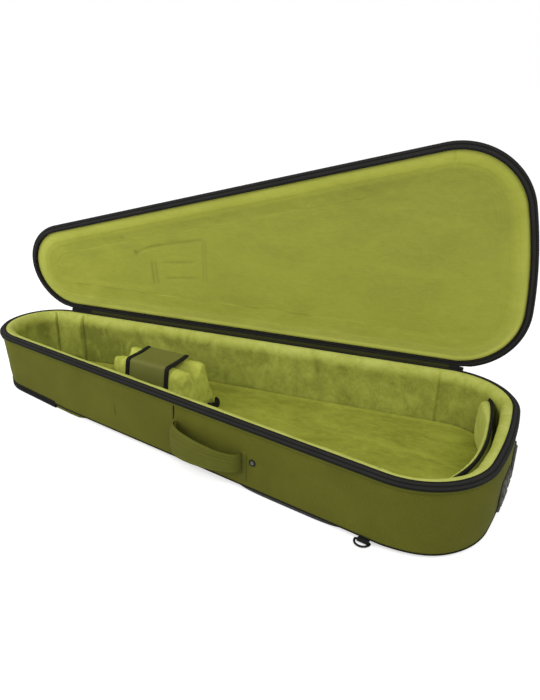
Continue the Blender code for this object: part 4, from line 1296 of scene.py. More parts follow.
@dataclass
class Rim:
    """The binding, zip tape, zip coil and piping round one half's rim."""

    plan: Plan
    shell: Shell
    tooth: float = 2.4 * MM
    coil_r: float = 1.8 * MM
    coil_out: float = 3.4 * MM
    coil_drop: float = 8.3 * MM
    piping_r: float = 1.8 * MM
    band_h: float = 13.0 * MM
    bare_steps: float = 3.0  # corner steps between the end of the hinge and the base's zip
    bare_lid: float = 0.6  # the same for the lid's zip

    def build(self) -> None:
        """Builds and dresses the rim's four pieces and its stitching."""
        plan, wall, name = self.plan, self.plan.wall, self.shell.value
        body = Body(name)
        runs = wall.columns(5 * MM)
        knots = [(8.2, 7.6), (8.2, 2.2), (7.5, 1.3), (6.6, 1.5), (5.6, 0.8), (3.2, 0.6)]
        knots += [(1.6, 1.2), (0.5, 2.8), (0.3, 6.0), (0.3, 12.2)]
        knots += [(0.9, 12.9), (2.4, 12.7), (2.5, 8.1)]
        binding = self.closed(np.array(knots) * MM)
        piece = self.sweep(f"{name}_binding", binding, runs, wall.total)
        dress(piece, BINDING, body, "black_webbing", f"{name}_rim_binding")
        bare = self.bare_steps if self.shell is Shell.BASE else self.bare_lid
        first, last = bare * wall.head_step, wall.starts[5] - bare * wall.corner_step
        zip_runs = wall.columns(5 * MM, start=first, end=last)
        knots = [(0.1, 3.3), (-1.6, 3.7), (-3.1, 4.5), (-4.2, 5.2), (-4.7, 5.9)]
        knots += [(-4.4, 6.5), (-3.1, 6.3), (-1.4, 5.4), (0.1, 4.8)]
        tape = self.closed(np.array(knots) * MM)

        def off_wall(at: Grid) -> Grid:
            """How far the zip comes off the wall, less near both of its ends."""
            return np.minimum(ease(at, first - 4 * MM, first + 26 * MM), 1 - ease(at, last - 26 * MM, last + 4 * MM))

        reach = off_wall(zip_runs)
        rows = plan.rim(self.shell, zip_runs, tape[:, :1] * reach + 0.4 * MM * (1 - reach), tape[:, 1:])
        piece = loft(f"{name}_tape", rows, zip_runs, tube=True)
        dress(piece, TAPE, body, "black_webbing", f"{name}_zip_tape")
        count = int((last - first) / self.tooth)
        teeth = np.linspace(first, last, 4 * count + 1)
        line = plan.rim(self.shell, teeth, -self.coil_out * off_wall(teeth)[None], self.coil_drop)[0]
        radius = self.coil_r * (0.82 + 0.16 * np.cos(2 * pi * np.arange(len(teeth)) / 4))
        dress(tube(f"{name}_coil", line, radius, 6), COIL, body, "black_zip", f"{name}_zip_coil")
        line = plan.rim(self.shell, runs, -self.piping_r - plan.gap, self.band_h)[0]
        piping = tube(f"{name}_piping", line, self.piping_r, 8, closed=True)
        dress(piping, CANVAS_TRIM, body, "olive_canvas", f"{name}_rim_piping")
        # Black cords along the binding's edges: the inner one is painted shade in the gap between binding and velour.
        edges = [plan.rim(self.shell, runs, 8.4 * MM, 1.15 * MM)[0], plan.rim(self.shell, runs, -0.3 * MM, 2.7 * MM)[0]]
        edge_shade_cords = [tube("edge_shade_cord", line, 0.85 * MM, 6, closed=True) for line in edges]
        dress(joined(f"{name}_rim_welts", edge_shade_cords), BLACK_THREAD, body, "black_webbing")
        _, out = wall.at(runs)
        inner = plan.rim(self.shell, runs, 6.6 * MM, 1.5 * MM)[0]
        outer = plan.rim(self.shell, runs, 0.28 * MM, 10.6 * MM)[0]
        up = plan.turn @ UP * -1 if self.shell is Shell.LID else UP
        side = np.column_stack([out, np.zeros(len(runs))])
        side = side @ plan.turn.T if self.shell is Shell.LID else side
        rows = [stitches("stitch", inner, up), stitches("stitch", outer, side)]
        dress(joined(f"{name}_rim_stitching", rows), BLACK_THREAD, body, "black_webbing")

    @staticmethod
    def closed(knots: Profile, step: float = 1.0 * MM) -> Grid:
        """Rounds a closed profile's knots."""
        return smooth_line([*knots, knots[0]], step)[:-1]

    def sweep(self, name: str, profile: Grid, runs: Grid, around: float = 0.0) -> bpy.types.Object:
        """Carries a closed profile along the rim."""
        rows = self.plan.rim(self.shell, runs, profile[:, :1], profile[:, 1:])
        return loft(name, rows, runs, around=around, tube=True)


# ---- The lid's shell


@dataclass
class LidShell:
    """The lid's canvas and its velour lining with the marks of what it has pressed on."""

    plan: Plan
    crease_in: float = 36.0 * MM
    panel_rise: float = 9.0 * MM

    def canvas(self) -> None:
        """The lid's outer canvas: a straight edge, a rounded shoulder and a low crown."""
        plan, wall = self.plan, self.plan.wall
        runs = wall.columns(5 * MM)
        knots = [(2.5, 13.4), (0.4, 13.3), (0.0, 14.6), (0.0, 19.0), (0.7, 24.0)]
        knots += [(3.6, 29.6), (8.6, 33.2), (15.0, 35.0)]
        knots += [(30.0, 36.4), (60.0, 37.8)]
        profile = smooth_line(np.array(knots) * MM, 2.5 * MM)
        inset, rise = spread(profile, runs)
        closed = plan.base(runs, inset, rise)
        push = Ripples(160 * MM, 0.8 * MM, 31).at(closed) + Ripples(50 * MM, 0.25 * MM, 32).at(closed)
        push = push * ease(rise, 15 * MM, 22 * MM)
        push = push - 0.8 * MM * hump(inset - 17 * MM, 1.6 * MM)
        inset, rise = plan.pushed(profile, push)
        rows = plan.lid(runs, inset, rise)
        spot, out = wall.at(runs)
        flat = plan.spine(spot - out * 60 * MM, 20)[1:]
        crown = raised(flat, plan.rim_z + 37.8 * MM)
        crown[..., 2] += Ripples(260 * MM, 1.0 * MM, 33).at(crown) * ease(np.linspace(0, 1, 19), 0, 0.2)[:, None]
        piece = loft("lid_canvas", np.concatenate([rows, plan.opened(crown)]), runs, around=wall.total)
        dress(piece, CANVAS, Body.LID, "olive_canvas", "lid_cover", "lid_foam")
        line = plan.lid(runs, 20.5 * MM, 35.75 * MM)[0]
        rows = stitches("lid_topstitching", line, plan.turn @ UP)
        dress(rows, OLIVE_THREAD, Body.LID, "olive_canvas")

    def marks(self, closed: Grid) -> Grid:
        """The depth of what is pressed into the panel, by plan points of the closed lid.

        Args:
            closed: Points as rows by columns by 3.

        Returns:
            Distances, negative where the panel is pressed away.
        """
        x, y = closed[..., 0] - self.plan.wall.head_x, closed[..., 1]
        top = np.interp(x, [0.284, 0.304, 0.329, 0.384, 0.452], [-0.033, -0.041, -0.047, -0.053, -0.059])
        long = ease(x, 0.286, 0.30) * (1 - ease(x, 0.448, 0.462))
        pressed = -1.0 * MM * long * (0.65 + 0.5 * hump(x - 0.335, 0.02)) * hump(y - top, 3.4 * MM)
        short = ease(x, 0.342, 0.356) * (1 - ease(x, 0.415, 0.435))
        pressed = pressed - 0.7 * MM * short * hump(y + 0.009, 4.0 * MM) - 0.6 * MM * short * hump(y - 0.028, 3.6 * MM)
        upright = ease(y, -0.018, -0.004) * (1 - ease(y, 0.036, 0.046))
        for foot, lean, depth in ((0.319, 0.0011, 1.0), (0.329, 0.0009, 0.8)):
            pressed = pressed - depth * MM * upright * hump(x - foot + lean * y / 0.01, 3.0 * MM)
        upright = ease(y, -0.062, -0.050) * (1 - ease(y, 0.030, 0.042))
        for foot, lean, depth in ((0.447, 0.0017, 0.6), (0.454, 0.0014, 0.6)):
            pressed = pressed - depth * MM * upright * hump(x - foot + lean * y / 0.01, 2.4 * MM)
        spots = ((0.261, -0.072, 0.9), (0.286, -0.034, 1.6), (0.213, 0.010, 0.6))
        spots += ((0.498, -0.098, 0.5), (0.104, 0.066, 0.5))
        for spot_x, spot_y, depth in spots:
            pressed = pressed - depth * MM * hump(np.hypot(x - spot_x, y - spot_y), (3.0 + 1.6 * depth) * MM)
        return pressed

    def lining(self) -> None:
        """The velour: a sloping border with its crease, and the panel with pressed marks."""
        plan, wall = self.plan, self.plan.wall
        tick = wall.front(0.981)
        marked = [side(x - 0.009) for side in (wall.front, wall.back) for x in (0.285, 0.318, 0.329, 0.447, 0.456)]
        runs = wall.columns(5 * MM, [tick, *marked])
        knots = [(8.9, 12.0), (9.0, 8.6), (10.2, 7.0), (14.0, 6.0), (22.0, 4.5), (30.0, 3.5), (35.0, 3.6), (38.5, 4.6)]
        knots += [(43.0, 5.6), (52.0, 7.2), (60.0, 8.2), (64.0, 8.4)]
        profile = smooth_line(np.array(knots) * MM, 1.5 * MM)
        inset, rise = spread(profile, runs)
        spot, _ = wall.at(runs)
        tail = ease(spot[:, 0], 0.25, 0.30)
        head = 1 - ease(spot[:, 0], -0.72, -0.60)
        flat = plan.base(runs, inset, rise)
        border = ease(inset, 12 * MM, 20 * MM)
        push = border * (Ripples(110 * MM, 0.7 * MM, 41).at(flat) + Ripples(26 * MM, 0.15 * MM, 42).at(flat))
        upper = ease(-spot[:, 1], -0.16, 0.05)
        push = push - (0.2 + 0.4 * upper) * MM * hump(inset - self.crease_in, 3.0 * MM)
        for line in (24.0, 45.0, 52.0, 60.0):
            push = push - 0.35 * MM * hump(inset - line * MM, 1.8 * MM) * tail
        push = push - 0.15 * MM * hump(inset - 46 * MM, 2.4 * MM) * head
        push = push - 1.6 * MM * hump(runs - tick, 2.4 * MM) * hump(inset - 20 * MM, 14 * MM)
        flatter = (1 - 0.65 * upper) * ease(inset, 12 * MM, 20 * MM)
        rise = rise + (8.4 * MM - rise) * flatter * 0.8
        ahead = unit(np.gradient(profile, axis=0))
        inset = inset + ahead[:, 1:] * push
        rise = rise - ahead[:, :1] * push
        rows = plan.lid(runs, inset, rise)
        spot, out = wall.at(runs)
        plane = plan.spine(spot - out * 64 * MM, 60)[1:]
        panel = raised(plane, plan.rim_z + self.panel_rise)
        inward = np.linspace(0, 1, 59)[:, None]
        wave = Ripples(330 * MM, 1.3 * MM, 43).at(panel) + Ripples(120 * MM, 0.45 * MM, 44).at(panel)
        panel[..., 2] -= (wave + self.marks(panel)) * ease(inward, 0, 0.3) + 0.6 * MM * (1 - ease(inward, 0, 0.4))
        piece = loft("lid_velour", np.concatenate([rows, plan.opened(panel)]), runs, around=wall.total, flip=True)

        def lies(at: Grid) -> Grid:
            """How much darker the velour is painted: the pile pressed in the marks, and painted shade that grows
            towards the lid's free edge.
            """
            closed = (at - plan.pivot) @ plan.turn + plan.pivot
            # The height term is painted shade: darker towards the lid's free edge, lighter towards the hinge.
            return -self.marks(closed) * 0.28 / MM + 0.36 * (ease(at[:, 2], 0.13, 0.52) - 0.5)

        paint_darkening(piece, lies)
        dress(piece, LID_PLUSH, Body.LID, "lime_plush", "lid_lining", fill=0.4)


# ---- The hinge


@dataclass
class Hinge:
    """The cloth that joins lid and base, the black tabs at its ends, and the parked sliders."""

    plan: Plan
    cloth_start: float = 0.133  # from the head tip
    cloth_t: float = 1.4 * MM

    def about(self, radius: float, degrees: float) -> tuple[float, float]:
        """A profile point about the hinge's axis: 0 degrees is outward and 90 is up."""
        turn = radians(degrees)
        return -self.plan.hinge_out - radius * cos(turn), self.plan.hinge_drop - radius * sin(turn)

    def gusset(self) -> None:
        """The cloth strip between the lid and the base."""
        plan, wall = self.plan, self.plan.wall
        runs = wall.columns(6 * MM, start=wall.starts[5], end=wall.back(self.cloth_start + 0.3 * MM))
        knots = [(-0.75 * MM, 12.0 * MM), (-0.75 * MM, 6.0 * MM), (-0.75 * MM, 1.0 * MM), (-0.95 * MM, -1.6 * MM)]
        knots += [self.about(7.1 * MM, turn) for turn in (100, 80, 60, 45)]
        middle = smooth_line(knots, 1.2 * MM)
        section = strip_outline(middle, self.cloth_t / 2)
        rows = plan.rim(Shell.BASE, runs, section[:, :1], section[:, 1:])
        piece = loft("hinge_cloth", rows, runs, tube=True)
        axis = plan.pivot
        bend = (Body.BASE, Body.LID, axis - 5.5 * MM * plan.out_back, axis + 5.0 * MM * plan.out_back)
        dress(piece, SHADED_GUSSET_CLOTH, bend, "olive_cloth", "hinge_gusset")

    def tabs(self) -> None:
        """The folded black tabs that end the hinge."""
        plan, wall = self.plan, self.plan.wall
        knots = [(-0.1 * MM, 9.2 * MM), (-0.1 * MM, 3.0 * MM), (-0.1 * MM, -2.2 * MM)]
        knots += [self.about(7.6 * MM, turn) for turn in (95, 65, 35, 5)]
        knots += [self.about(6.0 * MM, turn) for turn in (-30, -60)]
        section = Rim.closed(knots)
        tail = wall.starts[5]
        spans = {
            "head": wall.columns(2 * MM, start=wall.back(self.cloth_start), end=wall.total - 0.01 * MM),
            "tail": wall.columns(2 * MM, start=tail - 0.95 * wall.corner_step, end=tail + 0.6 * MM),
        }
        for name, runs in spans.items():
            rows = [plan.rim(Shell.BASE, runs, section[:, :1], section[:, 1:])]
            if name == "head":
                round_head = np.linspace(0.01 * MM, 0.35 * wall.head_step, 5)
                rows.append(plan.rim(Shell.BASE, round_head, section[:, :1], section[:, 1:]))
            piece = loft(f"hinge_tab_{name}", np.concatenate(rows, axis=1), tube=True)
            dress(piece, WEBBING, Body.BASE, "black_webbing", f"hinge_end_tab_{name}")

    def webs(self) -> None:
        """The black webbing that is folded over each end of the cloth strip."""
        plan, wall = self.plan, self.plan.wall
        knots = [(-0.9 * MM, 6.0 * MM), (-0.9 * MM, 1.0 * MM), (-1.1 * MM, -1.6 * MM)]
        knots += [self.about(7.2 * MM, turn) for turn in (100, 80, 60, 45)]
        section = strip_outline(smooth_line(knots, 1.2 * MM), 1.5 * MM)
        axis = plan.pivot
        bend = (Body.BASE, Body.LID, axis - 5.5 * MM * plan.out_back, axis + 5.0 * MM * plan.out_back)
        head, tail = wall.total, wall.starts[5]
        spans = {"head": (head - 15 * MM, head - 0.01 * MM), "tail": (tail - 16 * MM, tail + 1.5 * MM)}
        for name, (start, end) in spans.items():
            rows = plan.rim(Shell.BASE, wall.columns(2 * MM, start=start, end=end), section[:, :1], section[:, 1:])
            dress(loft(f"hinge_web_{name}", rows, tube=True), WEBBING, bend, "black_webbing")

    def sliders(self) -> None:
        """Both sliders with their pulls."""
        wall = self.plan.wall
        head, tail = wall.head_step, wall.corner_step
        self.slider("head", 2.5 * head, 0.39 * head, Body.PULL_HEAD)
        self.slider("tail", wall.starts[5] - 2.5 * tail, 0.39 * tail, Body.PULL_TAIL)

    def slider(self, name: str, run: float, half: float, body: Body) -> None:
        """One slider and its pull.

        Args:
            name: Which end of the hinge it is at.
            run: Where its middle is on the wall.
            half: Half its length.
            body: The pull's body.
        """
        plan = self.plan
        runs = np.linspace(run - half, run + half, 13)
        pinch = 1.0 - 0.28 * np.abs(np.linspace(-1, 1, 13)) ** 3
        knots = [(0.0, 3.0), (0.0, 9.2), (-4.0, 9.2), (-5.3, 7.8), (-5.5, 5.6), (-4.6, 3.8), (-2.4, 3.1)]
        section = Rim.closed(np.array(knots) * MM)
        middle = section.mean(0)
        inset = middle[0] + (section[:, :1] - middle[0]) * pinch
        drop = middle[1] + (section[:, 1:] - middle[1]) * pinch
        piece = loft(f"slider_{name}", plan.rim(Shell.BASE, runs, inset, drop), tube=True)
        dress(piece, STEEL, Body.BASE, "black_steel", f"zip_slider_{name}")
        _, out = plan.wall.at([run])
        out = np.array([*out[0], 0.0])
        across = np.array([-out[1], out[0], 0.0])
        hang = plan.rim(Shell.BASE, [run], -5.7 * MM, 9.4 * MM)[0, 0]
        outline = [(0.0, 2.0), (3.0, 2.3), (9.0, 2.3), (13.0, 3.9), (22.0, 3.6), (26.0, 2.8), (27.2, 1.2)]
        right = smooth_line([(w * MM, d * MM) for d, w in outline], 1.0 * MM)
        loop = np.vstack([right, right[::-1] * [-1, 1]])
        rows = []
        for depth, grow in ((-0.8, 0.86), (-0.5, 0.98), (0.0, 1.0), (0.5, 0.98), (0.8, 0.86)):
            middle = np.array([0.0, 13.5 * MM])
            drawn = middle + (loop - middle) * [grow, 1 - (1 - grow) * 0.25]
            rows.append(hang + drawn[:, :1] * across - drawn[:, 1:] * UP + depth * MM * out)
        caps = [np.broadcast_to(hang - 13.5 * MM * UP + d * MM * out, rows[0].shape) for d in (-0.8, 0.8)]
        rows = np.stack([caps[0], *rows, caps[1]])
        pull = loft(f"pull_{name}", rows, around=0.12)
        turns = np.linspace(0, 2 * pi, 17)[:-1, None]
        ring = hang + 2.4 * MM * (across * np.cos(turns) - UP * (1 + np.sin(turns)) * 0.5)
        grip = tube("ring", ring, 0.6 * MM, 6, closed=True)
        piece = joined(f"zip_pull_{name}_plate", [pull, grip])
        dress(piece, STEEL, body, "black_steel", f"zip_pull_{name}")


# ---- Underside and tail end


@dataclass
class Underside:
    """The back pads, the head guard and the strap rings."""

    plan: Plan
    guard_end: float = 0.212  # from the head tip
    ring_x: float = 0.945  # from the head tip
    wire_r: float = 1.9 * MM
    ring_w: float = 26.2 * MM
    ring_z: float = 5.0 * MM

    def guard(self) -> None:
        """The rubber guard round the head end's foot."""
        plan = self.plan
        runs = plan.wall.round_head(self.guard_end, 5 * MM, 4 * MM)
        knots = [(-1.4, 6.4), (-0.7, 7.4), (0.8, 7.0), (2.4, 3.0), (7.0, -0.3), (7.0, -8.2)]
        knots += [(2.2, -8.3), (-1.1, -7.4), (-1.9, -3.0)]
        section = smooth_line(np.array([*knots, knots[0]]) * MM, 1.3 * MM)[:-1]
        rows = plan.base(runs, section[:, :1], section[:, 1:])
        dress(loft("head_end_guard", rows, tube=True), GUARD_RUBBER, Body.BASE, "dark_rubber", "head_guard")

    def slab(self, name: str, outline: Grid, top: float, edge: float, dent: Callable[[Grid], Grid]) -> bpy.types.Object:
        """A padded slab that hangs under the base.

        Args:
            name: The object's name.
            outline: Its plan outline.
            top: The height of its flat back.
            edge: How far its lower edge is rounded.
            dent: Tells how far its underside is drawn up, from plan points.

        Returns:
            The object.
        """
        middle = outline.mean(0)
        rows = [raised(middle + (outline - middle) * s, top) for s in (0.0, 0.5, 1.0)]
        reach = np.linalg.norm(outline - middle, axis=1, keepdims=True)
        for turn in np.linspace(0, pi / 2, 6):
            drawn = outline + (middle - outline) / reach * edge * (1 - cos(turn))
            rows.append(raised(drawn, edge * (1 - sin(turn))))
        drawn = outline + (middle - outline) / reach * edge
        for share in np.linspace(0.06, 1.0, 16):
            at = drawn + (middle - drawn) * share
            rows.append(np.column_stack([at, dent(at)]))
        return loft(name, np.stack(rows), tube=False, around=2.0, flip=True)

    def pads(self) -> None:
        """The olive head pad and the black body pad, with their quilting."""
        plan, wall = self.plan, self.plan.wall
        turns = np.linspace(0, 2 * pi, 97)[:-1]
        x = bulged(np.cos(turns), 2 / 5) * 0.136
        side, _ = wall.at(wall.columns(5 * MM, start=wall.starts[1] + MM, end=wall.starts[2] - MM))
        half = np.interp(x, side[:, 0], -side[:, 1]) - 2.6 * MM
        y = bulged(np.sin(turns), 1 / 4) * half

        def quilt(at: Grid) -> Grid:
            """How deep the body pad's three quilting seams draw it in."""
            return 1.6 * MM * np.maximum(hump(np.abs(at[:, 0]) - 48 * MM, 3 * MM), hump(at[:, 1], 3 * MM))

        def seam(at: Grid) -> Grid:
            """How deep the head pad's one seam draws it in."""
            return 1.2 * MM * hump(at[:, 0] + 0.60, 3 * MM)

        piece = self.slab("body_back_pad", np.column_stack([x, y]), 8.7 * MM, 3.4 * MM, quilt)
        dress(piece, SPACER, Body.BASE, "black_mesh", "back_pad_body", fill=0.6)
        runs = wall.round_head(0.213, 6 * MM, 6 * MM)
        round_head = plan.base(runs, 7.3 * MM, 0.0)[0, :, :2]
        ends = ((0.213, 2.6), (0.26, 2.6), (0.286, 3.2), (0.298, 9.0), (0.306, 22.5))
        near = [plan.base([wall.front(f)], i * MM, 0.0)[0, 0, :2] for f, i in ends]
        far = [plan.base([wall.back(f)], i * MM, 0.0)[0, 0, :2] for f, i in ends[::-1]]
        outline = np.vstack([round_head, near, far])
        piece = self.slab("head_back_pad", outline, 8.7 * MM, 2.6 * MM, seam)
        dress(piece, CANVAS_TRIM, Body.BASE, "olive_canvas", "back_pad_head", fill=0.6)

    def ring(self, name: str, side: float, body: Body) -> None:
        """A D-ring, welded at its bar, on its folded webbing tab.

        Args:
            name: Which ring it is.
            side: -1 for the handle side and 1 for the hinge side.
            body: The ring's body.
        """
        plan, wall = self.plan, self.plan.wall
        along, out = (plan.along_front, plan.out_front) if side < 0 else (plan.along_back, plan.out_back)
        run = wall.front(self.ring_x) if side < 0 else wall.back(self.ring_x)
        bar = plan.base([run], -self.wire_r - 0.6 * MM, self.ring_z - plan.pad_t)[0, 0]
        half = self.ring_w / 2
        turns = np.linspace(0, pi, 21)
        bow = bar + half * (np.cos(turns)[:, None] * along + np.sin(turns)[:, None] * out) + 1.0 * MM * out
        shares = np.linspace(-0.86, 0.86, 9)
        line = np.vstack([bar + half * shares[:, None] * along, bow])
        dress(tube(f"{name}_wire", line, self.wire_r, 10, closed=True), STEEL, body, "black_steel", name)
        radius = self.wire_r + 1.1 * MM
        seat = plan.pad_t - 0.6 * MM - self.ring_z
        turns = np.radians(np.linspace(120, -150, 12))
        wrap = [(-24 * MM, seat), (-12 * MM, seat + 0.1 * MM)]
        wrap += [(radius * cos(t), radius * sin(t)) for t in turns]
        wrap += [(-6 * MM, seat - 2.6 * MM), (-12 * MM, seat - 1.6 * MM), (-24 * MM, seat - 1.3 * MM)]
        middle = smooth_line(wrap, 1.2 * MM)
        ahead = unit(np.gradient(middle, axis=0))
        thick = np.stack([-ahead[:, 1], ahead[:, 0]], axis=1) * 0.5 * MM
        section = np.vstack([middle + thick, (middle - thick)[::-1]])
        spread = np.linspace(-9.5, 9.5, 14) * MM
        rows = bar + section[:, None, :1] * out + section[:, None, 1:] * UP + spread[None, :, None] * along
        piece = loft(name.replace("ring", "ring_webbing"), rows, tube=True)
        dress(piece, WEBBING, Body.BASE, "black_webbing", name.replace("ring", "ring_tab"))

    def build(self) -> None:
        """Builds everything under the bag."""
        self.guard()
        self.pads()
        self.ring("d_ring_front", -1, Body.RING_FRONT)
        self.ring("d_ring_back", 1, Body.RING_BACK)


@dataclass
class TractionPlates:
    """Two rubber plates on the tail wall, with staggered blunt nubs to stand on."""

    plan: Plan
    inner: float = 12.0 * MM
    width: float = 66.0 * MM
    height: float = 64.0 * MM
    foot: float = 14.0 * MM
    thick: float = 3.5 * MM
    nub: float = 3.0 * MM
    columns: int = 7
    rows: int = 6

    def build(self) -> None:
        """Builds both plates with their nubs."""
        for name, side in (("front", -1.0), ("back", 1.0)):
            slab = self.plate(name, side)
            dress(slab, RUBBER, Body.BASE, "dark_rubber", f"traction_plate_{name}")
            # The nubs' lighter grey is a painted highlight.
            dress(self.nubs(name, side), NUB_HIGHLIGHT_RUBBER, Body.BASE, "dark_rubber")

    def place(self, side: float, across: Grid, up: Grid, out: Grid) -> Grid:
        """Points off the tail wall, by shares of the plate's width and height.

        Args:
            side: -1 for the handle side's plate and 1 for the other.
            across: Shares of the width.
            up: Shares of the height.
            out: How far off the wall.

        Returns:
            The points, in space.
        """
        across, up, out = np.broadcast_arrays(across, up, out)
        y = side * (self.inner + across * self.width)
        turn = np.arcsin(y / self.plan.wall.tail_r)
        reach = self.plan.wall.tail_r + out + 3.2 * MM * ease(self.foot + up * self.height, 5 * MM, 35 * MM)
        x = self.plan.wall.tail_c[0] + reach * np.cos(turn)
        return np.stack([x, reach * np.sin(turn), self.plan.pad_t + self.foot + up * self.height], axis=-1)

    def outline(self, grow: float, count: int = 64) -> tuple[Grid, Grid]:
        """A rounded square from 0 to 1, grown or shrunk by a distance.

        Args:
            grow: How far it is grown, in metres.
            count: The number of its points.

        Returns:
            The points' shares across and up.
        """
        turns = 2 * pi * (np.arange(count) + 0.5) / count
        power = 2 / 7
        x = bulged(np.cos(turns), power)
        y = bulged(np.sin(turns), power)
        return 0.5 + x * (0.5 + grow / self.width), 0.5 + y * (0.5 + grow / self.height)

    def plate(self, name: str, side: float) -> bpy.types.Object:
        """The plate itself, with a rolled edge.

        Args:
            name: Its name.
            side: Its side, -1 or 1.

        Returns:
            The plate.
        """
        rows = []
        profile = ((0.0, 0.5), (0.3, 2.2), (-0.4, 3.3), (-1.6, 3.9), (-2.8, 3.6), (-3.6, 3.0))
        for grow, out in (*profile, (-12, 3.0), (-24, 3.0), (-33, 3.0)):
            across, up = self.outline(grow * MM)
            rows.append(self.place(side, across, up, out * MM))
        return loft(f"rubber_plate_{name}", np.stack(rows), around=0.26, flip=side > 0)

    def nubs(self, name: str, side: float) -> bpy.types.Object:
        """The nubs, each a rounded block with a dished top.

        Args:
            name: Its name.
            side: The plate's side, -1 or 1.

        Returns:
            All nubs as one object.
        """
        turns = 2 * pi * (np.arange(16) + 0.5) / 16
        x = np.sign(np.cos(turns)) * np.abs(np.cos(turns)) ** 0.5
        y = np.sign(np.sin(turns)) * np.abs(np.sin(turns)) ** 0.5
        pieces = []
        for i in range(self.columns):
            for j in range(self.rows):
                if (i + j) % 2:
                    continue
                cu = 0.055 + (i + 0.5) / self.columns * 0.89
                cv = 0.055 + (j + 0.5) / self.rows * 0.89
                rows = []
                knob = ((0.50, 2.8), (0.47, 4.6), (0.43, 5.7), (0.36, 6.4), (0.28, 6.5), (0.2, 6.1), (0.0, 6.0))
                for size, out in knob:
                    across = cu + x * size * 0.89 / self.columns
                    up = cv + y * size * 0.89 / self.rows
                    rows.append(self.place(side, across, up, out * MM))
                pieces.append(loft("nub", np.stack(rows), around=0.03, flip=side > 0))
        made = joined(f"rubber_nubs_{name}", pieces)
        made.data.shade_smooth()
        return made


# ---- The handle


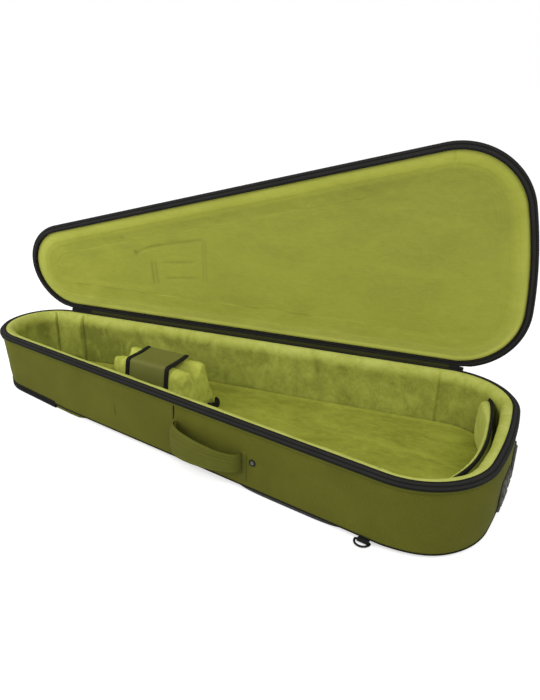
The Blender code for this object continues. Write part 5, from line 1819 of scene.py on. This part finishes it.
@dataclass
class Handle:
    """The bowed handle: a padded grip between two sewn strap ends, their tabs and the stud."""

    plan: Plan
    x: float = 0.6345  # from the head tip
    span: float = 150.0 * MM
    bow: float = 27.0 * MM
    width: float = 55.0 * MM
    thick: float = 6.5 * MM
    strap_t: float = 4.5 * MM
    foot: float = 14.0 * MM
    lift: float = 16.0 * MM  # how much higher the grip's lower edge lies at the tail end
    grip: float = 0.6  # of the half span
    ridges: tuple[float, ...] = (0.08, 0.60, 0.77, 0.92)

    def section(self, share: float) -> tuple[Grid, Grid, float]:
        """The strap's section: how far out and how high, and how far it is bowed.

        Args:
            share: A share of the handle's half span, from -1 to 1.

        Returns:
            How far out and how high its points lie, and its bow.
        """
        thick = self.strap_t + (self.thick - self.strap_t) * float(1 - ease(abs(share), 0.45, 0.75))
        up = np.linspace(0.0, 1.0, 41)
        edge = np.sqrt(np.maximum(1 - (2 * np.abs(up - 0.5)) ** 14, 0.02))
        puff = sum(hump(up - at, 0.022) for at in self.ridges)
        front = thick / 2 * edge * (0.86 + 0.18 * np.sin(pi * up)) + 1.1 * MM * puff * edge
        back = -thick / 2 * edge * 0.9
        bow = self.plan.gap + self.strap_t / 2 + self.bow * cos(asin(min(1.0, abs(share)))) ** 0.7
        return np.concatenate([front, back[::-1]]), np.concatenate([up, up[::-1]]), bow

    def strip(self, name: str, start: float, end: float, count: int) -> bpy.types.Object:
        """A length of the handle between two shares of its half span.

        Args:
            name: Its name.
            start: The share that it starts at.
            end: The share that it ends at.
            count: The number of its sections.

        Returns:
            The piece.
        """
        turns = np.linspace(asin(start), asin(end), count)
        columns = []
        for turn in turns:
            share = sin(turn)
            out, up, bow = self.section(share)
            low = self.foot + 4 * MM + self.lift * 0.5 * (1 + share)
            top = self.foot + self.width + 13 * MM * (0.5 * (1 - share)) ** 1.3
            height = low + (top - low) * up
            along = self.span / 2 * share - 9 * MM * float(hump(share + 0.84, 0.24)) * np.sin(pi * up)
            columns.append(self.plan.on_front(self.x, along, bow + out, height))
        rows = np.stack(columns, axis=1)
        rows = rows + Ripples(34 * MM, 0.3 * MM, 51).at(rows)[..., None] * self.plan.out_front
        return loft(name, rows, tube=True)

    def build(self) -> None:
        """Builds the handle, its tabs, its stitching and the stud."""
        plan = self.plan
        piece = self.strip("handle_padded_grip", -self.grip, self.grip, 41)
        dress(piece, CANVAS_TRIM, Body.HANDLE, "olive_canvas", "handle_grip", fill=0.6)
        for name, side in (("head", -1), ("tail", 1)):
            span = sorted((side * self.grip, side * 0.9995))
            piece = self.strip(f"handle_end_{name}", *span, 28)
            near = plan.on_front(self.x, side * self.span / 2 * 0.97, 14 * MM, 40 * MM)
            far = plan.on_front(self.x, side * self.span / 2 * 0.62, 14 * MM, 40 * MM)
            bend = (Body.BASE, Body.HANDLE, near, far)
            dress(piece, CANVAS_TRIM, bend, "olive_canvas", f"handle_strap_{name}")
            self.tab(name, side)
        # A black sheet in the gap behind the strap's head end stands for the shade there.
        self.gap_shade()
        self.stud()

    def gap_shade(self) -> None:
        """A black webbing sheet behind the strap's head end, which fills the gap behind it with painted shade."""
        along = np.linspace(-0.99, -0.68, 9)[None, :] * self.span / 2
        height = self.foot + np.linspace(26 * MM, self.width + 14 * MM, 8)[:, None]
        out = 0.9 * MM * np.ones((8, 9))
        out[[0, -1]] = out[:, [0, -1]] = 0.1 * MM
        front, back = (self.plan.on_front(self.x, along, reach, height) for reach in (out, 0.0 * out))
        rows = np.concatenate([front, back[:, ::-1]], axis=1)
        dress(loft("handle_anchor_webbing", rows.transpose(1, 0, 2), tube=True), WEBBING, Body.BASE, "black_webbing")

    def tab(self, name: str, side: float) -> None:
        """The folded tab that is sewn over a strap end.

        Args:
            name: Which end it is at.
            side: -1 for the head end and 1 for the tail end.
        """
        plan = self.plan
        across = np.linspace(0.2, 9.0, 12) * MM
        rise = 2.1 * MM * np.sqrt(np.maximum(1 - (np.linspace(-1, 1, 12)) ** 8, 0.0)) + 0.2 * MM
        rows = []
        high = self.foot + self.width + (12.5 * MM if side < 0 else 1.5 * MM)
        for z in np.linspace(self.foot - 1.5 * MM, high, 30):
            pinch = 1 - 0.5 * float(hump(z - self.foot + 1.5 * MM, 1.5 * MM) + hump(z - high, 1.5 * MM))
            run = side * (self.span / 2 + across)
            rows.append(plan.on_front(self.x, run, rise * pinch + 0.25 * MM * np.sin(z / (3 * MM)), z))
        grid = np.stack(rows)
        heights = np.linspace(self.foot - 1.5 * MM, high, 30)[:, None]
        back = plan.on_front(self.x, side * (self.span / 2 + across)[None, :], 0.0, heights)
        rows = np.concatenate([grid, back[:, ::-1]], axis=1).transpose(1, 0, 2)
        piece = loft(f"handle_tab_cloth_{name}", rows, tube=True)
        dress(piece, CANVAS_TRIM, Body.BASE, "olive_canvas", f"handle_tab_{name}")
        heights = np.linspace(self.foot + 1 * MM, self.foot + self.width - 1 * MM, 20)
        lines = []
        for at in (2.6, 6.6):
            line = plan.on_front(self.x, side * (self.span / 2 + at * MM), 2.35 * MM, heights)
            lines.append(stitches("stitch", line, plan.out_front, 2.6 * MM, 3.6 * MM))
        dress(joined(f"handle_tab_stitching_{name}", lines), OLIVE_THREAD, Body.BASE, "olive_canvas")

    def stud(self) -> None:
        """The round stud beside the handle: a dark ring with a grey hollow centre."""
        plan = self.plan
        away = self.span / 2 + 9.0 * MM + 6.0 * MM + 6.5 * MM
        turns = 2 * pi * np.arange(32) / 32

        def turned(name: str, section: Profile) -> bpy.types.Object:
            """A round piece about the stud's axis, from radii and distances off the wall in millimetres.

            Args:
                name: Its name.
                section: Its radii and distances.

            Returns:
                The piece.
            """
            rows = [
                plan.on_front(self.x, away + r * MM * np.cos(turns), out * MM, 55 * MM + r * MM * np.sin(turns))
                for r, out in section
            ]
            return loft(name, np.stack(rows), around=0.04)

        collar = [(6.4, 0.1), (6.6, 0.9), (6.3, 1.9), (5.5, 2.6), (4.7, 2.7), (4.1, 2.3), (3.9, 1.4)]
        dress(turned("stud_collar", collar), STEEL, Body.BASE, "black_steel", "handle_stud")
        centre = [(4.0, 1.2), (3.7, 1.9), (2.9, 2.2), (2.0, 1.8), (1.0, 1.5), (0.0, 1.45)]
        dress(turned("stud_centre", centre), RIVET, Body.BASE, "black_steel")


# ---- Inside the base


@dataclass
class NeckRest:
    """The foam neck rest under velour, its strap with bound edges, and its pull loop."""

    plan: Plan
    x0: float = 0.318  # from the head tip
    x1: float = 0.514
    height: float = 97.0 * MM
    foot_w: float = 100.0 * MM
    top_w: float = 76.0 * MM
    end_slope: float = 14.0 * MM
    channel_w: float = 48.0 * MM
    channel_d: float = 19.0 * MM
    seat_z: float = 19.8 * MM
    strap_x0: float = 0.350
    strap_x1: float = 0.458
    strap_drop: float = 72.0 * MM
    binding_w: float = 10.5 * MM

    def section(self) -> Grid:
        """The rest's section across the bag: drawn-in sides and a round channel on top.

        Returns:
            The section's points, how far across and how high.
        """
        foot, top, channel = self.foot_w / 2, self.top_w / 2, self.channel_w / 2
        half = [
            (foot - 4 * MM, 0.5 * MM),
            (foot - 1 * MM, 5 * MM),
            (0.5 * (foot + top), 0.5 * self.height),
            (top + 1 * MM, self.height - 14 * MM),
            (top - 2 * MM, self.height - 5 * MM),
            (0.5 * (top + channel), self.height - 1.0 * MM),
            (channel - 1 * MM, self.height - 3 * MM),
            (channel - 7 * MM, self.height - 0.62 * self.channel_d),
            (0.4 * channel, self.height - 0.93 * self.channel_d),
        ]
        points = half + [(0.0, self.height - self.channel_d)] + [(-y, z) for y, z in half[::-1]]
        return smooth_line(points, 3 * MM)

    def pad(self) -> None:
        """The padded rest."""
        start = self.plan.wall.head_x
        section = self.section()
        low = 0.5 * self.height
        sections = []
        for x, slope, drawn in (
            (self.x0 - 13 * MM, 0.5, 0.86),
            (self.x0 - 10 * MM, 0.5, 0.94),
            (self.x0 - 1 * MM, 0.4, 0.985),
            (self.x0 + 50 * MM, 0.2, 0.99),
            (self.x1 - 60 * MM, -0.4, 0.99),
            (self.x1 - 10 * MM, -1.0, 0.985),
            (self.x1 - 3 * MM, -1.0, 0.94),
            (self.x1, -1.0, 0.86),
        ):
            z = np.where(section[:, 1] > low, low + (section[:, 1] - low) * (0.5 + 0.5 * drawn), section[:, 1])
            run = start + x + slope * self.end_slope * section[:, 1] / self.height
            sections.append(np.column_stack([run, section[:, 0] * drawn, self.seat_z + z]))
        piece = loft("neck_rest_pad", np.stack(sections, axis=1), tube=True)

        def held(at: Grid) -> Grid:
            """How far a point is sewn down: fully at the rest's foot."""
            return 1 - ease(at[:, 2], self.seat_z + 4 * MM, self.seat_z + 12 * MM)

        swell(piece, 4.5 * MM, 3.0 * MM, held)

        def creases(at: Grid) -> Grid:
            """How far the rest's soft folds move its points, more at the tail end and none at the foot.

            Args:
                at: Points in space.

            Returns:
                Shifts in metres, one row for each point.
            """
            away = unit(at - np.array([start + 0.416, 0.0, self.seat_z + 30 * MM]))
            free = ease(at[:, 2], self.seat_z + 2 * MM, self.seat_z + 20 * MM)
            end = ease(at[:, 0], start + self.x1 - 30 * MM, start + self.x1 - 8 * MM)
            wave = Ripples(24 * MM, 0.5 * MM, 61).at(at) + Ripples(42 * MM, 0.7 * MM, 62).at(at)
            drawn = Ripples(30 * MM, 1.4 * MM, 63).at(at * [0.3, 1.0, 0.35])
            return away * ((0.8 * wave + 0.8 * drawn * end) * free)[:, None]

        move_points(piece, creases)
        dress(piece, REST_PLUSH, Body.BASE, "lime_plush", "neck_rest", fill=0.7)

    def strap_line(self) -> Grid:
        """The strap's middle line across the bag: y and z from the fold down the front.

        Returns:
            The line's points, one row each.
        """
        top = self.seat_z + self.height + 1.8 * MM
        front = -self.top_w / 2 - 2.8 * MM
        flare = (self.foot_w - self.top_w) / 2 / self.height * self.strap_drop
        back = self.top_w / 2 - 4 * MM
        low = top - self.strap_drop + 1.5 * MM
        points = [(back, top + 0.2 * MM), (22 * MM, top - 0.2 * MM), (0.0, top - 1.0 * MM), (-22 * MM, top - 0.3 * MM)]
        points += [(front + 7 * MM, top), (front + 1.6 * MM, top - 2.2 * MM), (front - 0.6 * MM, top - 8 * MM)]
        points += [(front - 0.35 * flare - 0.9 * MM, top - 0.4 * self.strap_drop), (front - flare - 0.6 * MM, low)]
        return smooth_line(points, 3 * MM)

    def band(self, name: str, x0: float, x1: float, thick: float, count: int) -> bpy.types.Object:
        """A band of the strap between two places along the bag.

        Args:
            name: Its name.
            x0: Where it starts along the bag.
            x1: Where it ends.
            thick: Its thickness.
            count: The number of its points along the bag.

        Returns:
            The band.
        """
        line = self.strap_line()
        ahead = unit(np.gradient(line, axis=0))
        side = np.stack([-ahead[:, 1], ahead[:, 0]], axis=1)
        xs = np.linspace(x0, x1, count)
        edge = np.sqrt(np.maximum(1 - np.abs(np.linspace(-1, 1, count)) ** 6, 0.03))
        outer = line[:, None] - side[:, None] * (thick / 2 * edge)[None, :, None]
        inner = line[:, None] + side[:, None] * (thick / 2 * edge)[None, :, None]
        both = np.concatenate([outer, inner[:, ::-1]], axis=1)
        x = np.broadcast_to(np.concatenate([xs, xs[::-1]])[None, :, None], both.shape[:2] + (1,))
        grid = np.concatenate([x + self.plan.wall.head_x, both], axis=-1)
        return loft(name, grid.transpose(1, 0, 2), tube=True)

    def strap(self) -> None:
        """The lining cloth strap and its two black bindings."""
        inner0, inner1 = self.strap_x0 + self.binding_w, self.strap_x1 - self.binding_w
        piece = self.band("neck_strap_cloth", inner0 - 1 * MM, inner1 + 1 * MM, 2.0 * MM, 24)
        line = self.strap_line()
        wave = Ripples(46 * MM, 0.35 * MM, 71)
        move_points(piece, lambda at: wave.at(at)[:, None] * np.array([0.0, -0.5, 0.8]))
        dress(piece, CLOTH, Body.NECK_STRAP, "olive_cloth", "neck_strap")
        for name, x0, x1 in (("head", self.strap_x0, inner0), ("tail", inner1, self.strap_x1)):
            piece = self.band(f"neck_strap_edge_{name}", x0, x1, 4.4 * MM, 9)
            dress(piece, WEBBING, Body.NECK_STRAP, "black_webbing", f"neck_strap_binding_{name}")

    def loop(self) -> None:
        """The black webbing loop at the rest's foot."""
        turns = np.radians(np.linspace(-78, 78, 25))
        x = self.plan.wall.head_x + self.x1
        line = np.stack([x + 15.8 * MM * np.cos(turns), 28 * MM + 15.8 * MM * np.sin(turns), np.zeros(25)], axis=1)
        away = np.stack([np.cos(turns), np.sin(turns), np.zeros(25)], axis=1)
        section = Rim.closed(np.array([(-3.0, 0.5), (-2.8, 12.0), (2.8, 12.0), (3.0, 0.5)]) * MM)
        rows = np.stack([line + away * out + (self.seat_z + z) * UP for out, z in section])
        dress(loft("rest_pull_loop", rows, tube=True), WEBBING, Body.BASE, "black_webbing", "neck_rest_loop")

    def build(self) -> None:
        """Builds the rest with its strap and loop."""
        self.pad()
        self.strap()
        self.loop()


@dataclass
class TailDivider:
    """The padded divider before the tail wall, with the pocket's cloth and bound edge."""

    plan: Plan
    x: float = 1.077  # from the head tip, at the middle of the bag
    radius: float = 0.45
    top: float = 100.0 * MM
    pad_t: float = 11.0 * MM
    lobe: float = 8.0 * MM
    cloth_t: float = 2.5 * MM
    binding_t: float = 3.0 * MM
    seat_z: float = 19.8 * MM

    def end(self, radius: float) -> float:
        """The angle at which an arc about the divider's centre comes up to the wall's lining.

        Args:
            radius: The arc's radius.

        Returns:
            The angle, in radians.
        """
        corner = self.plan.wall.corner_c
        centre = self.plan.wall.head_x + self.x - self.radius
        away = hypot(corner[0] - centre, corner[1])
        reach = self.plan.wall.corner_r - 25 * MM - 3 * MM - 0.6 * MM
        turn = acos((radius**2 + away**2 - reach**2) / (2 * radius * away))
        return atan2(corner[1], corner[0] - centre) + turn

    def wall(self, section: Callable[[float], Profile], radius: float, count: int = 60, short: float = 0.0) -> Grid:
        """Carries a section of radii and heights across the tail, its far end cut short by an angle.

        Args:
            section: Tells the section from a share of the arc, from -1 to 1.
            radius: The radius at which it comes up to the lining.
            count: The number of its places along the arc.
            short: The angle that is cut off its far end.

        Returns:
            Points as rows by columns by 3.
        """
        end = self.end(radius)
        centre = self.plan.wall.head_x + self.x - self.radius
        columns = []
        for share in np.linspace(-1, 1, count):
            profile = np.asarray(section(share))
            turn = share * end - (short + 0.012) * max(share, 0.0) ** 2
            swept = 8.5 * MM * float(ease(share, 0.2, 1.0)) - 8 * MM * float(ease(-share, 0.3, 1.0))
            x = centre + profile[:, 0] * cos(turn) + swept
            z = self.seat_z + (profile[:, 1] - self.seat_z) * (1 + 0.07 * float(ease(share, 0.2, 1.0)))
            columns.append(np.column_stack([x, profile[:, 0] * sin(turn), z]))
        return np.stack(columns, axis=1)

    def build(self) -> None:
        """Builds the pad, the cloth behind it and the binding over both."""
        top = self.plan.pad_t + self.top
        body_top = top - self.binding_t - 0.3 * MM
        near = self.radius - self.pad_t + 3 * MM
        far = near + self.pad_t

        def padded(share: float) -> Profile:
            """The pad's section at a share of the arc, fuller towards the handle side's end.

            Args:
                share: A share of the arc, from -1 to 1.

            Returns:
                The section's points.
            """
            swollen = float(ease(share, 0.4, 0.9))
            out = near + 2.5 * MM * (1 - swollen) - 0.7 * self.lobe * swollen
            edge = 1.0 - 0.6 * float(ease(abs(share), 0.93, 1.0))
            mid = 0.5 * (out + far)
            half = 0.5 * (far - out) * edge
            low, high = self.seat_z + 0.8 * MM, top - 2.5 * MM - 7 * MM * float(ease(abs(share), 0.9, 1.0))
            side = np.linspace(low, high - 4 * MM, 14)
            crowned = 5.0 * MM * swollen * edge
            face = [(mid - half - crowned * sin(pi * (i + 1) / 15) ** 0.8, z) for i, z in enumerate(side)]
            crown = [(mid - half * cos(t), high - 4 * MM + 4 * MM * sin(t)) for t in np.linspace(0.35, pi - 0.35, 5)]
            return face + crown + [(mid + half, z) for z in side[::-1]]

        piece = loft("divider_pad", self.wall(padded, near, short=0.03), tube=True)

        def held(at: Grid) -> Grid:
            """How far a point is sewn down: fully at the divider's foot and near its top."""
            free = ease(at[:, 2], self.seat_z + 2 * MM, self.seat_z + 8 * MM)
            return 1 - 0.9 * free * (1 - ease(at[:, 2], body_top - 8 * MM, body_top - 2 * MM))

        swell(piece, 4.0 * MM, 2.2 * MM, held)

        def wave(at: Grid) -> Grid:
            """How far the pad's plush moves, more between its foot and its top."""
            free = ease(at[:, 2], self.seat_z, self.seat_z + 15 * MM)
            free = free * (1 - ease(at[:, 2], body_top - 12 * MM, body_top - 2 * MM))
            return (Ripples(60 * MM, 0.8 * MM, 81).at(at) * free)[:, None] * np.array([-1.0, 0.0, 0.0])

        move_points(piece, wave)
        dress(piece, WALL_PLUSH, Body.BASE, "lime_plush", "tail_divider", fill=0.7)
        cloth0, cloth1 = far + 0.5 * MM, far + 0.3 * MM + self.cloth_t

        def cloth(share: float) -> Profile:
            """The backing cloth's section at a share of the arc: it sags between its edges.

            Args:
                share: A share of the arc, from -1 to 1.

            Returns:
                The section's points.
            """
            side = np.linspace(self.seat_z, body_top, 12)
            belly = np.sin(pi * np.clip((body_top - side) / (26 * MM), 0, 0.5))
            sag = (7.0 * MM * float(hump(share + 0.25, 0.5)) + 0.5 * MM * sin(share * 9.0)) * belly
            up = [(cloth0 + s * 0.7, z) for z, s in zip(side, sag)]
            return up + [(cloth1 + s, z) for z, s in zip(side[::-1], sag[::-1])]

        piece = loft("divider_backing", self.wall(cloth, far), tube=True)
        dress(piece, BACKING, Body.BASE, "olive_cloth", "tail_divider_backing")

        def binding(share: float) -> Profile:
            """The section of the binding over the divider's top edge at a share of the arc.

            Args:
                share: A share of the arc, from -1 to 1.

            Returns:
                The section's points.
            """
            low = body_top - 4.5 * MM
            left, right = far - 2.4 * MM, cloth1 + 0.9 * MM
            knots = [(left, low), (left + 0.4 * MM, top - 1.2 * MM), (left + 2.4 * MM, top), (right - 2.4 * MM, top)]
            knots += [(right - 0.4 * MM, top - 1.2 * MM), (right, low), (right - 1.2 * MM, low), (left + 1.2 * MM, low)]
            return Rim.closed(knots, 1.0)

        piece = loft("divider_binding", self.wall(binding, near), tube=True)
        dress(piece, WEBBING, Body.BASE, "black_webbing", "tail_divider_binding")


# ---- The studio


@dataclass
class Studio:
    """A plain pale floor, a white backdrop, soft light and the camera."""

    spot: tuple[float, float, float] = (0.3795, -1.0489, 0.6900)
    azimuth: float = radians(26.123)
    elevation: float = radians(23.156)
    roll: float = radians(1.572)
    lens: float = 34.25  # mm, on a 36 mm sensor
    glow: float = 0.55  # how much the floor shines of itself to the camera, so that it is as white as the backdrop
    sky: float = 0.62  # how bright the backdrop is as a light, next to 1 as the camera sees it

    def camera(self) -> None:
        """Places the camera where the photograph was taken from."""
        away = cos(self.elevation)
        back = Vector((sin(self.azimuth) * away, -cos(self.azimuth) * away, sin(self.elevation)))
        right = Vector((cos(self.azimuth), sin(self.azimuth), 0.0))
        up = back.cross(right)
        level = Matrix((right, up, back)).transposed()
        turn = Matrix.Rotation(self.roll, 3, "Z")
        made = linked("camera", bpy.data.cameras.new("camera"))
        made.data.lens = self.lens
        made.data.sensor_width = 36.0
        made.data.clip_end = 60.0
        made.matrix_world = Matrix.Translation(self.spot) @ (level @ turn).to_4x4()
        bpy.context.scene.camera = made

    def lamp(self, name: str, spot: Sequence[float], size: float, power: float) -> None:
        """Adds a soft lamp that points at the bag.

        Args:
            name: The lamp's name.
            spot: Its place, in metres.
            size: How wide it is, in metres.
            power: Its power, in watts.
        """
        data = bpy.data.lights.new(name, "AREA")
        data.shape = "DISK"
        data.size = size
        data.energy = power
        made = linked(name, data)
        made.location = spot
        aim = Vector((-0.2, 0.05, 0.15)) - Vector(spot)
        made.rotation_euler = aim.to_track_quat("-Z", "Y").to_euler()

    @staticmethod
    def seen(tree: bpy.types.NodeTree) -> bpy.types.NodeSocket:
        """1 for a ray from the camera, a mirror or a glass, and 0 for one that only lights."""
        rays = add_node(tree, "LightPath", out=None).outputs
        first = add_node(tree, "Math", (rays["Is Camera Ray"], rays["Is Glossy Ray"]), operation="MAXIMUM")
        return add_node(tree, "Math", (first, rays["Is Transmission Ray"]), operation="MAXIMUM")

    def floor(self) -> None:
        """The pale floor, white to the camera except where the bag shades it."""
        material = bpy.data.materials.new("pale floor")
        material.use_nodes = True
        tree = material.node_tree
        glow = add_node(tree, "Math", (self.seen(tree), self.glow), operation="MULTIPLY")
        inputs = {"Base Color": (0.78, 0.78, 0.78, 1.0), "Roughness": 1.0, "Specular IOR Level": 0.0}
        inputs |= {"Emission Color": (1.0, 1.0, 1.0, 1.0), "Emission Strength": glow}
        feed(tree, tree.nodes["Principled BSDF"], inputs)
        mesh = bpy.data.meshes.new("studio_floor")
        corners = [(x, y, -0.4 * MM) for x, y in ((-30, -30), (30, -30), (30, 30), (-30, 30))]
        mesh.from_pydata(corners, [], [(0, 1, 2, 3)])
        mesh.materials.append(material)
        linked("studio_floor", mesh)

    def build(self) -> None:
        """Sets the stage."""
        scene = bpy.context.scene
        scene.view_settings.view_transform = "Standard"
        world = bpy.data.worlds.new("studio")
        scene.world = world
        world.use_nodes = True
        tree = world.node_tree
        terms = (self.seen(tree), 1.0 - self.sky, self.sky)
        strength = add_node(tree, "Math", terms, operation="MULTIPLY_ADD")
        feed(tree, tree.nodes["Background"], {"Color": (1.0, 1.0, 1.0, 1.0), "Strength": strength})
        self.floor()
        self.camera()
        self.lamp("key_softbox", (1.2, -1.5, 2.1), 1.6, 26.0)
        self.lamp("fill_softbox", (-1.7, -1.5, 1.0), 1.6, 23.0)


def main() -> None:
    """Builds the studio and every sub-assembly of the bag."""
    logging.basicConfig(level=logging.INFO, format="%(name)s: %(message)s")
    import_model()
    Studio().build()
    plan = Plan()
    base = BaseShell(plan)
    base.canvas()
    base.lining()
    base.floor()
    for shell in Shell:
        Rim(plan, shell).build()
    lid = LidShell(plan)
    lid.canvas()
    lid.lining()
    hinge = Hinge(plan)
    hinge.gusset()
    hinge.tabs()
    hinge.webs()
    hinge.sliders()
    Underside(plan).build()
    TractionPlates(plan).build()
    Handle(plan).build()
    NeckRest(plan).build()
    TailDivider(plan).build()


if __name__ == "__main__":
    main()
